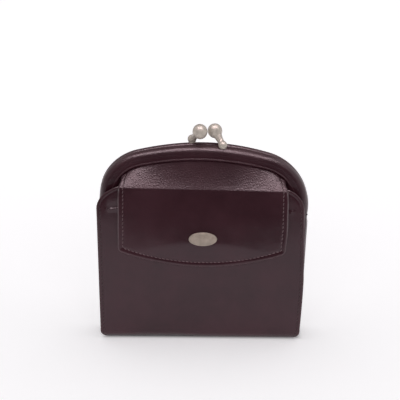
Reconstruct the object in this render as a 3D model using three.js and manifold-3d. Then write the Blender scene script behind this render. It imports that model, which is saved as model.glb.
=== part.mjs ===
// A small leather purse that stands on its folded bottom. Its back half is a coin purse closed by a
// leather-covered frame of two bows with ball knobs, its front half a leaf that folds up from the
// bottom, and a flap under the front bow comes down over the leaf and snaps on it.
// Millimetres: +X to the right, +Y to the back, +Z up. The origin is the middle of the underside.
import * as THREE from "three";
import { mergeVertices } from "three/addons/utils/BufferGeometryUtils.js";
import Module from "manifold-3d";

const wasm = await Module();
wasm.setup();

// Leather and clearance
const COVER_THICKNESS = 1.4;
const LINING_THICKNESS = 1.1;
const WALL_THICKNESS = 1.2;
const FLAP_THICKNESS = 1.6;
const GUSSET_THICKNESS = 1.0;
const GAP = 0.3;

// Frame of two bows, seen from the front
const FRAME_HALF_WIDTH = 51;
const FRAME_TOP = 96;
const SHOULDER_RADIUS = 25;
const CROWN_LIFT = 3;
const LEG_LENGTH = 4.2;
const BOW_BAND = 5.8;
const BOW_DEPTH = 5.8;
const BOW_OUTER_ROUND = 2.4;
const BOW_SEAM_ROUND = 1.3;
const BOW_INNER_ROUND = 0.6;

// Folded bottom
const BASE_DEPTH = 19;
const BASE_NARROWING = 1.3;
const FOLD_RADIUS = 5;
const BOTTOM_CORNER = 3.5;

// Back panel and coin purse
const BACK_SETBACK = 2.1;
const BACK_BULGE = 1.8;
const SIDE_BULGE = 0.5;
const NOTE_GAP = 1.2;
const COIN_SIDE_INSET = 1.4;
const COIN_BULGE = 1.1;
const HEM_HEIGHT = 12;
const GUSSET_FOLD = 7;
const GUSSET_TOP_DROP = 1.5;

// Front leaf
const LEAF_SIDE_INSET = 1;
const LEAF_DROP = 18;
const LEAF_CORNER = 11;
const LEAF_LEAN = 1.4;
const LEAF_SETBACK = 0.4;
const LEAF_BULGE = 0.9;
const LINING_INSET = 0.4;
const SLIT_DROP = 11;
const SLIT_WIDTH = 0.9;
const SLIT_END_MARGIN = 4.5;

// Flap
const FLAP_SIDE_INSET = 10.3;
const FLAP_KNEE_ROUND = 1.6;
const FLAP_KNEE_LIFT = 0.8;
const FLAP_DROP = 38.4;
const FLAP_CORNER_RISE = 7.4;
const FLAP_STANDOFF = 0.4;

// Press stud and ornament on the flap
const STUD_RISE = 14.6;
const STUD_RADIUS = 5;
const STUD_THICKNESS = 0.7;
const ORNAMENT_LENGTH = 13.6;
const ORNAMENT_WIDTH = 6.8;
const ORNAMENT_THICKNESS = 1.3;
const ORNAMENT_BEVEL = 0.4;

// Ball knobs
const KNOB_SHIFT = 1.4;
const BALL_RADIUS = 3.35;
const BALL_SPREAD = 3.6;
const BALL_HEIGHT = 7.3;
const BALL_CROSSING = 2;
const FOOT_RADIUS = 1.95;
const FOOT_SPREAD = 7.6;
const NECK_RADIUS = 1.5;
const NECK_TOP_RADIUS = 2.4;
const PEG_RADIUS = 1;
const PEG_LENGTH = 3;

// Hinge pins
const PIN_RADIUS = 1.1;
const PIN_INSET = 0.6;

// Fineness of the meshes
const COLUMNS = 16;
const WALL_ROWS = 9;
const FLAP_SLOPE_ROWS = 4;
const FLAP_DROP_ROWS = 8;
const BEVEL_STEPS = 2;
const ARC_STEPS = 4;
const BOW_STEPS = 8;
const ROUND_SIDES = 16;

// Sizes that follow from those above
const springHeight = FRAME_TOP - SHOULDER_RADIUS - CROWN_LIFT;
const legEnd = springHeight - LEG_LENGTH;
const baseHalfDepth = BASE_DEPTH / 2;
const baseHalfWidth = FRAME_HALF_WIDTH - BASE_NARROWING;
const bowInset = BOW_BAND + GAP;
const frameMid = baseHalfDepth - BACK_SETBACK + GAP / 2 - BOW_DEPTH;
const bowFront = frameMid - GAP / 2 - BOW_DEPTH;
const leafTopHeight = FRAME_TOP - LEAF_DROP;
const leafHalfWidth = FRAME_HALF_WIDTH - LEAF_SIDE_INSET;
const liningDepth = COVER_THICKNESS + GAP;
const coinFoot = -baseHalfDepth + liningDepth + LINING_THICKNESS + NOTE_GAP;
const coinHead = bowFront + FLAP_THICKNESS + GAP;
const flapHalfWidth = FRAME_HALF_WIDTH - FLAP_SIDE_INSET;
const kneeRadius = FLAP_KNEE_ROUND + FLAP_THICKNESS;
const kneeHeight = leafTopHeight - FLAP_KNEE_ROUND + FLAP_KNEE_LIFT;
const flapTip = kneeHeight - FLAP_DROP;
const studHeight = flapTip + STUD_RISE;
const snapRise = STUD_THICKNESS + 2 * GAP - FLAP_STANDOFF;

const quarter = Math.PI / 2;
const lerp = (from, to, share) => from + (to - from) * share;
const clamp01 = (share) => Math.min(1, Math.max(0, share));
const hump = (share) => Math.sin(Math.PI * clamp01(share));
const range = (count, make) => Array.from({ length: count }, (_, index) => make(index));

// Arch of the frame: two shoulder arcs, and a crown arc that runs into them without a corner
const shoulderX = FRAME_HALF_WIDTH - SHOULDER_RADIUS;
const crownRise = SHOULDER_RADIUS + CROWN_LIFT;
const crownRadius = (shoulderX ** 2 + crownRise ** 2 - SHOULDER_RADIUS ** 2) / (2 * CROWN_LIFT);
const crownCentre = FRAME_TOP - crownRadius;
const crownAngle = Math.atan2(shoulderX, springHeight - crownCentre);

// Height of the arch, drawn in by an inset, at a place across the width
function archHeight(x, inset) {
  const crown = crownRadius - inset;
  if (Math.abs(x) <= crown * Math.sin(crownAngle)) {
    return crownCentre + Math.sqrt(crown ** 2 - x ** 2);
  }
  const shoulder = SHOULDER_RADIUS - inset;
  const out = Math.min(Math.abs(x) - shoulderX, shoulder);
  return springHeight + Math.sqrt(shoulder ** 2 - out ** 2);
}

// Stops along the arch from the left leg to the right one, each with its outward direction
function archStops(legBottom) {
  const arcs = [
    { x: -shoulderX, z: springHeight, radius: SHOULDER_RADIUS, from: -quarter, to: -crownAngle },
    { x: 0, z: crownCentre, radius: crownRadius, from: -crownAngle, to: crownAngle },
    { x: shoulderX, z: springHeight, radius: SHOULDER_RADIUS, from: crownAngle, to: quarter },
  ];
  const stops = [{ x: -FRAME_HALF_WIDTH, z: legBottom, outX: -1, outZ: 0 }];
  arcs.forEach((arc, index) => {
    for (let step = index === 0 ? 0 : 1; step <= BOW_STEPS; step++) {
      const angle = lerp(arc.from, arc.to, step / BOW_STEPS);
      const outX = Math.sin(angle);
      const outZ = Math.cos(angle);
      stops.push({ x: arc.x + arc.radius * outX, z: arc.z + arc.radius * outZ, outX, outZ });
    }
  });
  stops.push({ x: FRAME_HALF_WIDTH, z: legBottom, outX: 1, outZ: 0 });
  return stops;
}

// Depth of each leather wall: its outer face at a place across and up. A wall's bulge is its full size
// in the middle and SIDE_BULGE of it at the sides.
const acrossShare = (x) => lerp(1, SIDE_BULGE, (x / FRAME_HALF_WIDTH) ** 2);
const upShare = (z, top) => clamp01((z - FOLD_RADIUS) / (top - FOLD_RADIUS));

function backDepth(x, z) {
  const share = upShare(z, archHeight(x, bowInset));
  return baseHalfDepth - BACK_SETBACK * share + BACK_BULGE * hump(share) * acrossShare(x);
}

function coinDepth(x, z) {
  const share = upShare(z, archHeight(x, bowInset));
  return lerp(coinFoot, coinHead, share) - COIN_BULGE * hump(share) * acrossShare(x);
}

function leafDepth(x, z) {
  const share = upShare(z, leafTopHeight);
  return LEAF_SETBACK * share - baseHalfDepth - LEAF_BULGE * hump(share) * acrossShare(x);
}

// Half widths, which round off at the corners of the folded bottom
function cornerCut(z) {
  const reach = Math.max(0, BOTTOM_CORNER - z);
  return BOTTOM_CORNER - Math.sqrt(BOTTOM_CORNER ** 2 - reach ** 2);
}

const panelHalfWidth = (z, top, topWidth) =>
  lerp(baseHalfWidth, topWidth, clamp01(z / top)) - cornerCut(z);
const backHalfWidth = (z) => panelHalfWidth(z, legEnd, FRAME_HALF_WIDTH);
const coinHalfWidth = (z) => backHalfWidth(z) - COIN_SIDE_INSET;
const leafHalfWidthAt = (z) => panelHalfWidth(z, leafTopHeight - LEAF_CORNER, leafHalfWidth);
const leafLean = (z) => -LEAF_LEAN * clamp01(z / leafTopHeight);

// Top edge of the leaf, with its rounded corners
function leafTop(x, inset) {
  const out = Math.max(0, Math.abs(x) - (leafHalfWidth - LEAF_CORNER));
  const radius = LEAF_CORNER - inset;
  return leafTopHeight - LEAF_CORNER + Math.sqrt(radius ** 2 - Math.min(out, radius) ** 2);
}

// Gives a geometry its faces, turned outwards
function closedGeometry(positions, indices) {
  const corner = (index) => new THREE.Vector3().fromArray(positions, 3 * index);
  let volume = 0;
  for (let i = 0; i < indices.length; i += 3) {
    volume += corner(indices[i]).dot(corner(indices[i + 1]).cross(corner(indices[i + 2])));
  }
  const geometry = new THREE.BufferGeometry();
  geometry.setAttribute("position", new THREE.Float32BufferAttribute(positions, 3));
  geometry.setIndex(volume < 0 ? indices.reverse() : indices);
  return geometry;
}

// A leather wall: a grid of points on its outer face, and the same grid moved in by its thickness.
// side is 1 or -1 and tells on which side of the grid the leather lies.
function leatherWall(grid, thickness, side) {
  const rows = grid.length;
  const columns = grid[0].length;
  const outer = grid.flat();
  const inner = [];
  for (let r = 0; r < rows; r++) {
    for (let c = 0; c < columns; c++) {
      const along = grid[Math.min(r + 1, rows - 1)][c].clone().sub(grid[Math.max(r - 1, 0)][c]);
      const across = grid[r][Math.min(c + 1, columns - 1)].clone().sub(grid[r][Math.max(c - 1, 0)]);
      const normal = along.cross(across).normalize();
      inner.push(grid[r][c].clone().addScaledVector(normal, side * thickness));
    }
  }
  const at = (r, c, layer) => layer * rows * columns + r * columns + c;
  const indices = [];
  const quad = (a, b, c, d) => indices.push(a, b, c, a, c, d);
  for (let r = 0; r + 1 < rows; r++) {
    for (let c = 0; c + 1 < columns; c++) {
      quad(at(r, c, 0), at(r, c + 1, 0), at(r + 1, c + 1, 0), at(r + 1, c, 0));
      quad(at(r, c, 1), at(r + 1, c, 1), at(r + 1, c + 1, 1), at(r, c + 1, 1));
    }
  }
  const rim = [
    ...range(columns - 1, (c) => [0, c]),
    ...range(rows - 1, (r) => [r, columns - 1]),
    ...range(columns - 1, (c) => [rows - 1, columns - 1 - c]),
    ...range(rows - 1, (r) => [rows - 1 - r, 0]),
  ];
  rim.forEach(([r, c], index) => {
    const [nextR, nextC] = rim[(index + 1) % rim.length];
    quad(at(r, c, 0), at(r, c, 1), at(nextR, nextC, 1), at(nextR, nextC, 0));
  });
  return closedGeometry([...outer, ...inner].flatMap((point) => point.toArray()), indices);
}

// A row of points across a wall, closer together towards its sides
function acrossRow(place) {
  return range(COLUMNS + 1, (column) => place(Math.sin(quarter * ((2 * column) / COLUMNS - 1))));
}

// Rows up a wall between two heights, each a function of the place across
function wallRows(count, bottom, top, place) {
  return range(count + 1, (step) =>
    acrossRow((share) => place(share, lerp(bottom(share), top(share), step / count))),
  );
}

// Rows round the quarter fold from a wall (first) to the underside (last, left out)
function foldRows(radius, place) {
  return range(ARC_STEPS - 1, (step) => {
    const angle = (quarter * (step + 1)) / ARC_STEPS;
    const inset = radius * (1 - Math.cos(angle));
    const height = radius * (1 - Math.sin(angle));
    return acrossRow((share) => place(share, inset, height));
  });
}

// Solids for cuts and joints
function solidOf(geometry) {
  const bare = geometry.clone();
  bare.deleteAttribute("normal");
  bare.deleteAttribute("uv");
  const merged = mergeVertices(bare, 1e-4);
  return new wasm.Manifold(
    new wasm.Mesh({
      numProp: 3,
      vertProperties: new Float32Array(merged.attributes.position.array),
      triVerts: new Uint32Array(merged.index.array),
    }),
  );
}

function geometryOf(solid) {
  const mesh = solid.getMesh();
  const geometry = new THREE.BufferGeometry();
  geometry.setAttribute("position", new THREE.BufferAttribute(mesh.vertProperties, 3));
  geometry.setIndex(new THREE.BufferAttribute(mesh.triVerts, 1));
  return geometry;
}

function cut(geometry, ...cutters) {
  const left = cutters.reduce((rest, cutter) => rest.subtract(solidOf(cutter)), solidOf(geometry));
  return geometryOf(left);
}

function join(...geometries) {
  return geometryOf(geometries.map(solidOf).reduce((whole, solid) => whole.add(solid)));
}

// A bar swept along the arch. Its section is a ring of corners, each with its place outwards, its
// depth along Y and its rounding.
function archBar(corners, legBottom) {
  const section = corners.flatMap((corner, index) => {
    const here = new THREE.Vector2(corner.out, corner.y);
    const towards = (other) => new THREE.Vector2(other.out, other.y).sub(here).normalize();
    const before = towards(corners.at(index - 1)).multiplyScalar(corner.round);
    const after = towards(corners[(index + 1) % corners.length]).multiplyScalar(corner.round);
    const centre = here.clone().add(before).add(after);
    const steps = corner.round > 0 ? ARC_STEPS : 0;
    return range(steps + 1, (step) => {
      const angle = steps ? (quarter * step) / steps : 0;
      const point = centre.clone().addScaledVector(after, -Math.cos(angle));
      return point.addScaledVector(before, -Math.sin(angle));
    });
  });
  const stops = archStops(legBottom);
  const positions = stops.flatMap(({ x, z, outX, outZ }) =>
    section.flatMap((point) => [x + point.x * outX, point.y, z + point.x * outZ]),
  );
  const { area } = THREE.ShapeUtils;
  const count = section.length;
  const indices = [];
  for (let stop = 0; stop + 1 < stops.length; stop++) {
    for (let k = 0; k < count; k++) {
      const a = stop * count + k;
      const b = stop * count + ((k + 1) % count);
      indices.push(a, b, b + count, a, b + count, a + count);
    }
  }
  const last = (stops.length - 1) * count;
  for (const face of THREE.ShapeUtils.triangulateShape(section, [])) {
    const sameTurn = area(face.map((k) => section[k])) * area(section) > 0;
    const [a, b, c] = sameTurn ? face : face.reverse();
    indices.push(a, c, b, last + a, last + b, last + c);
  }
  return closedGeometry(positions, indices);
}

// Height up to which a wall is laid out before the frame's room is cut from it
const underFrame = (share) => archHeight(share * FRAME_HALF_WIDTH, BOW_BAND / 2);

// Room that the frame takes from a wall under it; side is -1 for the front wall, 1 for the back one
function frameRoom(side) {
  const far = frameMid + side * BASE_DEPTH;
  const corners = [
    { out: -bowInset, y: frameMid, round: 0 },
    { out: -bowInset, y: far, round: 0 },
    { out: bowInset, y: far, round: 0 },
    { out: bowInset, y: frameMid, round: 0 },
  ];
  return archBar(corners, legEnd - GAP);
}

// Cover: the outside of the leaf, the folded bottom and the back panel are one piece of leather
function coverGrid() {
  const leafPoint = (share, z) => {
    const x = leafLean(z) + share * leafHalfWidthAt(z);
    return new THREE.Vector3(x, leafDepth(x, z), z);
  };
  const backPoint = (share, z) => {
    const x = share * backHalfWidth(z);
    return new THREE.Vector3(x, backDepth(x, z), z);
  };
  const underside = (y) => acrossRow((share) => new THREE.Vector3(share * backHalfWidth(0), y, 0));
  return [
    ...wallRows(WALL_ROWS, (share) => leafTop(share * leafHalfWidth, 0), () => FOLD_RADIUS, leafPoint),
    ...foldRows(FOLD_RADIUS, (share, inset, z) =>
      new THREE.Vector3(leafLean(z) + share * leafHalfWidthAt(z), inset - baseHalfDepth, z),
    ),
    underside(FOLD_RADIUS - baseHalfDepth),
    underside(baseHalfDepth - FOLD_RADIUS),
    ...foldRows(FOLD_RADIUS, (share, inset, z) =>
      new THREE.Vector3(share * backHalfWidth(z), baseHalfDepth - inset, z),
    ).reverse(),
    ...wallRows(WALL_ROWS, () => FOLD_RADIUS, underFrame, backPoint),
  ];
}

// Mouth of the leaf's pocket, cut through the outer leather only
function slitCutter() {
  const height = leafTopHeight - SLIT_DROP;
  const back = leafDepth(leafHalfWidth, height) + COVER_THICKNESS + GAP / 2;
  const end = leafHalfWidth - SLIT_END_MARGIN - SLIT_WIDTH / 2;
  const outline = new THREE.Shape();
  outline.absarc(end, 0, SLIT_WIDTH / 2, -quarter, quarter);
  outline.absarc(-end, 0, SLIT_WIDTH / 2, quarter, 3 * quarter);
  const depth = 2 * (COVER_THICKNESS + LEAF_BULGE);
  const options = { depth, bevelEnabled: false, curveSegments: ARC_STEPS };
  const cutter = new THREE.ExtrudeGeometry(outline, options);
  cutter.rotateX(quarter);
  cutter.translate(leafLean(height), back, height);
  return cutter;
}

const coverGeometry = () =>
  cut(leatherWall(coverGrid(), COVER_THICKNESS, -1), frameRoom(1), slitCutter());

// Lining: the inner leather of the leaf, drawn in a little from the cover's edge
function liningGeometry() {
  const place = (share, z) => {
    const x = leafLean(z) + share * (leafHalfWidthAt(z) - LINING_INSET);
    return new THREE.Vector3(x, leafDepth(x, z) + liningDepth, z);
  };
  const top = (share) => leafTop(share * leafHalfWidth, LINING_INSET);
  const rows = wallRows(WALL_ROWS, top, () => FOLD_RADIUS + liningDepth, place);
  return leatherWall(rows, LINING_THICKNESS, -1);
}

// Coin wall: front and bottom of the coin purse, and a hem up the inside of the back panel
function coinGrid() {
  const radius = FOLD_RADIUS - liningDepth;
  const back = baseHalfDepth - liningDepth;
  const frontPoint = (share, z) => {
    const x = share * coinHalfWidth(z);
    return new THREE.Vector3(x, coinDepth(x, z), z);
  };
  const hemPoint = (share, z) => {
    const x = share * coinHalfWidth(z);
    return new THREE.Vector3(x, backDepth(x, z) - liningDepth, z);
  };
  const floorPoint = (share, y, z) => new THREE.Vector3(share * coinHalfWidth(z), y, z);
  return [
    ...wallRows(WALL_ROWS, underFrame, () => FOLD_RADIUS, frontPoint),
    ...foldRows(radius, (share, inset, z) => floorPoint(share, coinFoot + inset, z + liningDepth)),
    acrossRow((share) => floorPoint(share, coinFoot + radius, liningDepth)),
    acrossRow((share) => floorPoint(share, back - radius, liningDepth)),
    ...foldRows(radius, (share, inset, z) => floorPoint(share, back - inset, z + liningDepth)).reverse(),
    ...wallRows(1, () => FOLD_RADIUS, () => HEM_HEIGHT, hemPoint),
  ];
}

const coinWallGeometry = () => cut(leatherWall(coinGrid(), WALL_THICKNESS, -1), frameRoom(-1));

// Gusset: a strip folded inwards between coin wall and back panel; side is -1 left, 1 right
function gussetGeometry(side) {
  const grid = range(WALL_ROWS + 1, (step) => {
    const z = lerp(HEM_HEIGHT + GAP, legEnd - GUSSET_TOP_DROP, step / WALL_ROWS);
    const edge = coinHalfWidth(z) - GAP;
    const front = coinDepth(edge, z) + WALL_THICKNESS + GAP;
    const back = backDepth(edge, z) - liningDepth;
    const middle = (front + back) / 2;
    const section = [
      { inset: 0, y: front },
      { inset: GUSSET_THICKNESS, y: front },
      { inset: GUSSET_FOLD - GUSSET_THICKNESS, y: middle - GUSSET_THICKNESS },
      { inset: GUSSET_FOLD, y: middle },
      { inset: GUSSET_FOLD - GUSSET_THICKNESS, y: middle + GUSSET_THICKNESS },
      { inset: GUSSET_THICKNESS, y: back },
      { inset: 0, y: back },
    ];
    return section.map(({ inset, y }) => new THREE.Vector3(side * (edge - inset), y, z));
  });
  return leatherWall(grid, GUSSET_THICKNESS, -side);
}

// Hinge pin: lies across the end of both bows, which are bored for it
const pinLength = BOW_BAND - PIN_INSET;

function rodAlongX(radius, length, side) {
  const rod = new THREE.CylinderGeometry(radius, radius, length, ROUND_SIDES);
  rod.rotateZ(quarter);
  rod.translate(side * (FRAME_HALF_WIDTH - BOW_BAND / 2), frameMid, legEnd + LEG_LENGTH / 2);
  return rod;
}

const pinGeometry = (side) => rodAlongX(PIN_RADIUS, pinLength, side);

// Knobs: each has its foot on one bow and carries its ball across to the other one's side.
// side is -1 for the front bow, whose foot is on the right, and 1 for the back bow.
function knobPlaces(side) {
  const footX = KNOB_SHIFT - side * FOOT_SPREAD;
  const footZ = archHeight(footX, 0) + GAP + FOOT_RADIUS;
  const foot = new THREE.Vector3(footX, frameMid + (side * BOW_DEPTH) / 2, footZ);
  const ballX = KNOB_SHIFT - side * BALL_SPREAD;
  const ball = new THREE.Vector3(ballX, frameMid - side * BALL_CROSSING, FRAME_TOP + BALL_HEIGHT);
  return { foot, ball };
}

function pegAt(foot, radius, length) {
  const peg = new THREE.CylinderGeometry(radius, radius, length, ROUND_SIDES);
  peg.rotateX(quarter);
  peg.translate(foot.x, foot.y, foot.z - length / 2);
  return peg;
}

function knobGeometry(side) {
  const { foot, ball } = knobPlaces(side);
  const sphere = (centre, radius) => {
    const geometry = new THREE.SphereGeometry(radius, ROUND_SIDES, ROUND_SIDES / 2);
    geometry.translate(...centre.toArray());
    return geometry;
  };
  const length = foot.distanceTo(ball);
  const stem = new THREE.CylinderGeometry(NECK_TOP_RADIUS, NECK_RADIUS, length, ROUND_SIDES);
  const direction = ball.clone().sub(foot).normalize();
  const upright = new THREE.Vector3(0, 1, 0);
  stem.applyQuaternion(new THREE.Quaternion().setFromUnitVectors(upright, direction));
  stem.translate(...foot.clone().add(ball).multiplyScalar(0.5).toArray());
  const peg = pegAt(foot, PEG_RADIUS, FOOT_RADIUS + PEG_LENGTH);
  return join(sphere(ball, BALL_RADIUS), sphere(foot, FOOT_RADIUS), stem, peg);
}

// Bow: a leather-covered bar, bored for its hinge pins and for its knob's peg
function bowGeometry(side) {
  const near = frameMid + (side * GAP) / 2;
  const far = near + side * BOW_DEPTH;
  const corners = [
    { out: -BOW_BAND, y: near, round: BOW_INNER_ROUND },
    { out: -BOW_BAND, y: far, round: BOW_INNER_ROUND },
    { out: 0, y: far, round: BOW_OUTER_ROUND },
    { out: 0, y: near, round: BOW_SEAM_ROUND },
  ];
  const boreLength = BOW_BAND + 2 * GAP;
  const { foot } = knobPlaces(side);
  return cut(
    archBar(corners, legEnd),
    rodAlongX(PIN_RADIUS + GAP, boreLength, -1),
    rodAlongX(PIN_RADIUS + GAP, boreLength, 1),
    pegAt(foot, PEG_RADIUS + GAP, FOOT_RADIUS + PEG_LENGTH + GAP),
  );
}

// Flap: from under the front bow straight to a round knee over the leaf's top edge, then down.
// Over the press stud it stands off by the stud's thickness.
function studLift(x, z) {
  const out = Math.hypot(x / flapHalfWidth, (z - studHeight) / (kneeHeight - studHeight));
  return snapRise * Math.cos(quarter * clamp01(out)) ** 2;
}

const flapFront = (x, z) => leafDepth(x, z) - FLAP_STANDOFF - studLift(x, z) - FLAP_THICKNESS;

function flapBottom(x) {
  const radius = (flapHalfWidth ** 2 + FLAP_CORNER_RISE ** 2) / (2 * FLAP_CORNER_RISE);
  return flapTip + radius - Math.sqrt(radius ** 2 - x ** 2);
}

// Where the straight slope from the bow meets the knee, as an angle forward from straight up
function kneeAt(x) {
  const y = flapFront(x, kneeHeight) + kneeRadius;
  const root = archHeight(x, bowInset);
  const back = Math.atan2(y - bowFront, root - kneeHeight);
  const reach = Math.hypot(y - bowFront, root - kneeHeight);
  return { y, root, angle: back + Math.acos(Math.min(1, kneeRadius / reach)) };
}

function flapGrid() {
  const kneePoint = (x, angle) => {
    const y = kneeAt(x).y - kneeRadius * Math.sin(angle);
    return new THREE.Vector3(x, y, kneeHeight + kneeRadius * Math.cos(angle));
  };
  const slope = range(FLAP_SLOPE_ROWS, (step) =>
    acrossRow((share) => {
      const x = share * flapHalfWidth;
      const { root, angle } = kneeAt(x);
      return new THREE.Vector3(x, bowFront, root).lerp(kneePoint(x, angle), step / FLAP_SLOPE_ROWS);
    }),
  );
  const knee = range(ARC_STEPS + 1, (step) =>
    acrossRow((share) => {
      const x = share * flapHalfWidth;
      return kneePoint(x, lerp(kneeAt(x).angle, quarter, step / ARC_STEPS));
    }),
  );
  const drop = wallRows(
    FLAP_DROP_ROWS,
    () => kneeHeight,
    (share) => flapBottom(share * flapHalfWidth),
    (share, z) => new THREE.Vector3(share * flapHalfWidth, flapFront(share * flapHalfWidth, z), z),
  );
  return [...slope, ...knee, ...drop.slice(1)];
}

const flapGeometry = () => leatherWall(flapGrid(), FLAP_THICKNESS, -1);

// Press stud between the leaf and the flap
function studGeometry() {
  const stud = new THREE.CylinderGeometry(STUD_RADIUS, STUD_RADIUS, STUD_THICKNESS, ROUND_SIDES);
  stud.translate(0, leafDepth(0, studHeight) - GAP - STUD_THICKNESS / 2, studHeight);
  return stud;
}

// Ornament: a plain oval plate with a bevelled rim, flat on the flap over the stud
function ornamentGeometry() {
  const outline = new THREE.Shape();
  const halfLength = ORNAMENT_LENGTH / 2 - ORNAMENT_BEVEL;
  const halfWidth = ORNAMENT_WIDTH / 2 - ORNAMENT_BEVEL;
  outline.absellipse(0, 0, halfLength, halfWidth, 0, 4 * quarter);
  const plate = new THREE.ExtrudeGeometry(outline, {
    depth: ORNAMENT_THICKNESS - 2 * ORNAMENT_BEVEL,
    bevelThickness: ORNAMENT_BEVEL,
    bevelSize: ORNAMENT_BEVEL,
    bevelSegments: BEVEL_STEPS,
    curveSegments: 2 * ROUND_SIDES,
  });
  plate.rotateX(quarter);
  plate.translate(0, flapFront(0, studHeight) - GAP - ORNAMENT_BEVEL, studHeight);
  return plate;
}

// Materials
const look = (color, roughness, metalness) => ({ color, roughness, metalness });
const leather = look(0x2c1015, 0.38, 0);
const innerLeather = look(0x33161a, 0.6, 0);
const nickel = look(0xb4aa9f, 0.28, 1);

const pieces = [
  { name: "cover", geometry: coverGeometry(), finish: leather },
  { name: "leaf_lining", geometry: liningGeometry(), finish: innerLeather },
  { name: "coin_wall", geometry: coinWallGeometry(), finish: leather },
  { name: "gusset_left", geometry: gussetGeometry(-1), finish: innerLeather },
  { name: "gusset_right", geometry: gussetGeometry(1), finish: innerLeather },
  { name: "front_bow", geometry: bowGeometry(-1), finish: leather },
  { name: "back_bow", geometry: bowGeometry(1), finish: leather },
  { name: "hinge_pin_left", geometry: pinGeometry(-1), finish: nickel },
  { name: "hinge_pin_right", geometry: pinGeometry(1), finish: nickel },
  { name: "front_knob", geometry: knobGeometry(-1), finish: nickel },
  { name: "back_knob", geometry: knobGeometry(1), finish: nickel },
  { name: "flap", geometry: flapGeometry(), finish: leather },
  { name: "press_stud", geometry: studGeometry(), finish: nickel },
  { name: "ornament", geometry: ornamentGeometry(), finish: nickel },
];

const purse = new THREE.Group();
purse.name = "leather_purse";
for (const { name, geometry, finish } of pieces) {
  const mesh = new THREE.Mesh(geometry, new THREE.MeshStandardMaterial(finish));
  mesh.name = name;
  purse.add(mesh);
}

export default purse;
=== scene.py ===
import math
from collections import namedtuple

import bmesh
import bpy
from mathutils import Matrix, Vector


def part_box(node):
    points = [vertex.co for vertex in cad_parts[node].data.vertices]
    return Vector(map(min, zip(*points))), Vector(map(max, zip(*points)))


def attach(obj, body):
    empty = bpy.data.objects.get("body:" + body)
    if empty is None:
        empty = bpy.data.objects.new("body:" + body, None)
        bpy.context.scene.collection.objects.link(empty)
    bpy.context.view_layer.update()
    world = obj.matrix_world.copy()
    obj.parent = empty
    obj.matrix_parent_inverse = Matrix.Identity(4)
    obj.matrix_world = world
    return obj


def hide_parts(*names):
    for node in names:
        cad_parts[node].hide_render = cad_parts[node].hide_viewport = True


bl_info = {
    "name": "Leather Purse",
    "version": (1, 0, 0),
    "blender": (4, 5, 0),
    "location": "3D View > Sidebar > Purse",
    "description": "Builds a small leather purse with a ball clasp, a folded leaf and a snapped flap",
    "category": "Add Mesh",
}

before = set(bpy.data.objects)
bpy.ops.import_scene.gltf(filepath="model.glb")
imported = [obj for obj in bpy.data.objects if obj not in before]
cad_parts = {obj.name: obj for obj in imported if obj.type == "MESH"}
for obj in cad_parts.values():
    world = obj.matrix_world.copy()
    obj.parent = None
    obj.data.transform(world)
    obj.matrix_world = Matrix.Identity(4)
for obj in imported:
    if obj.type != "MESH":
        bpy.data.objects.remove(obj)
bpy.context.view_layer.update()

BODY = "root"
TO_METRES = 0.001


def cad_box(node):
    """Lowest and highest corner of a CAD node, in millimetres."""
    low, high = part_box(node)
    return low / TO_METRES, high / TO_METRES


# Places taken from the frame, in millimetres. The shapes below are worked out in millimetres too,
# and turned into metres when a mesh is made.
FRONT_BOW_LOW, FRONT_BOW_HIGH = cad_box("front_bow")
BACK_BOW_LOW, BACK_BOW_HIGH = cad_box("back_bow")
FLAP_LOW, FLAP_HIGH = cad_box("flap")
PLATE_LOW, PLATE_HIGH = cad_box("ornament")
PLATE_CENTRE = (PLATE_LOW + PLATE_HIGH) / 2
HALF_WIDTH = FRONT_BOW_HIGH.x
FRAME_TOP = FRONT_BOW_HIGH.z
LEG_END = FRONT_BOW_LOW.z
FRONT_FACE = FRONT_BOW_LOW.y
FRONT_SEAM = FRONT_BOW_HIGH.y
BACK_FACE = BACK_BOW_HIGH.y
BACK_SEAM = BACK_BOW_LOW.y
BOW_DEPTH = BACK_FACE - BACK_SEAM
SEAM_MIDDLE = (FRONT_SEAM + BACK_SEAM) / 2
FLAP_HALF_WIDTH = FLAP_HIGH.x
FLAP_TIP = FLAP_LOW.z

# Outline of the frame
SHOULDER_RADIUS = 25.0
CROWN_LIFT = 3.0
BOW_BAND = 5.8
BOW_OUTER_ROUND = 3.0
BOW_OUTER_DEPTH = 3.7
BOW_SEAM_ROUND = 1.6
BOW_CRACKLE = 0.34
BOW_CRACKLE_REACH = 2.0
BOW_CRACKLE_FADE = 2.0
LEG_FILL = 0.35
SEAM_REACH = 2.8
ROLL_BELOW = 4.8
ROLL_ABOVE = 3.2
BACK_BOW_REACH = 5.0
BACK_BOW_FADE = 2.5
BACK_CHANNEL = 0.14
BACK_CHANNEL_WIDTH = 0.5

# How wear has shaped the purse
SAG = 0.0235
CROWN_RAISE = 0.20
CROWN_SHIFT = 0.25
CROWN_PEAK = 0.45
CROWN_FRONT_SHARE = 0.2
CROWN_FRONT = -3.5
CROWN_DEPTH = 5.5
FOOT_DRAW = 2.1
FOOT_DRAW_HEIGHT = 32.0
FOOT_DRAW_FALL = 1.3
LEG_DRAW = 0.8
LEG_DRAW_HEIGHT = 70.0
LEG_DRAW_SPREAD = 7.0
LEG_DRAW_FRONT = -7.0
LEG_DRAW_DEPTH = 3.0
BASE_LIFT = 0.60
BASE_LIFT_LEFT = 20.0
BASE_LIFT_SPREAD = 20.0

# Folded bottom and walls
BASE_HALF_DEPTH = 9.5
BASE_HALF_WIDTH = 49.7
FOLD_RADIUS = 5.0
BOTTOM_CORNER = 3.5
BACK_SETBACK = 2.1
BACK_BULGE = 1.8
SIDE_BULGE = 0.5
NOTE_GAP = 1.2
COIN_SIDE_INSET = 1.4
COIN_BULGE = 1.1
HEM_HEIGHT = 12.0
SIDE_FOLD_DEPTH = 1.9
SIDE_FOLD_WIDTH = 0.95
SIDE_FOLD_START = 8.0
GAP = 0.3
SLACK = 0.01
UNWORN = 3.0

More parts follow.
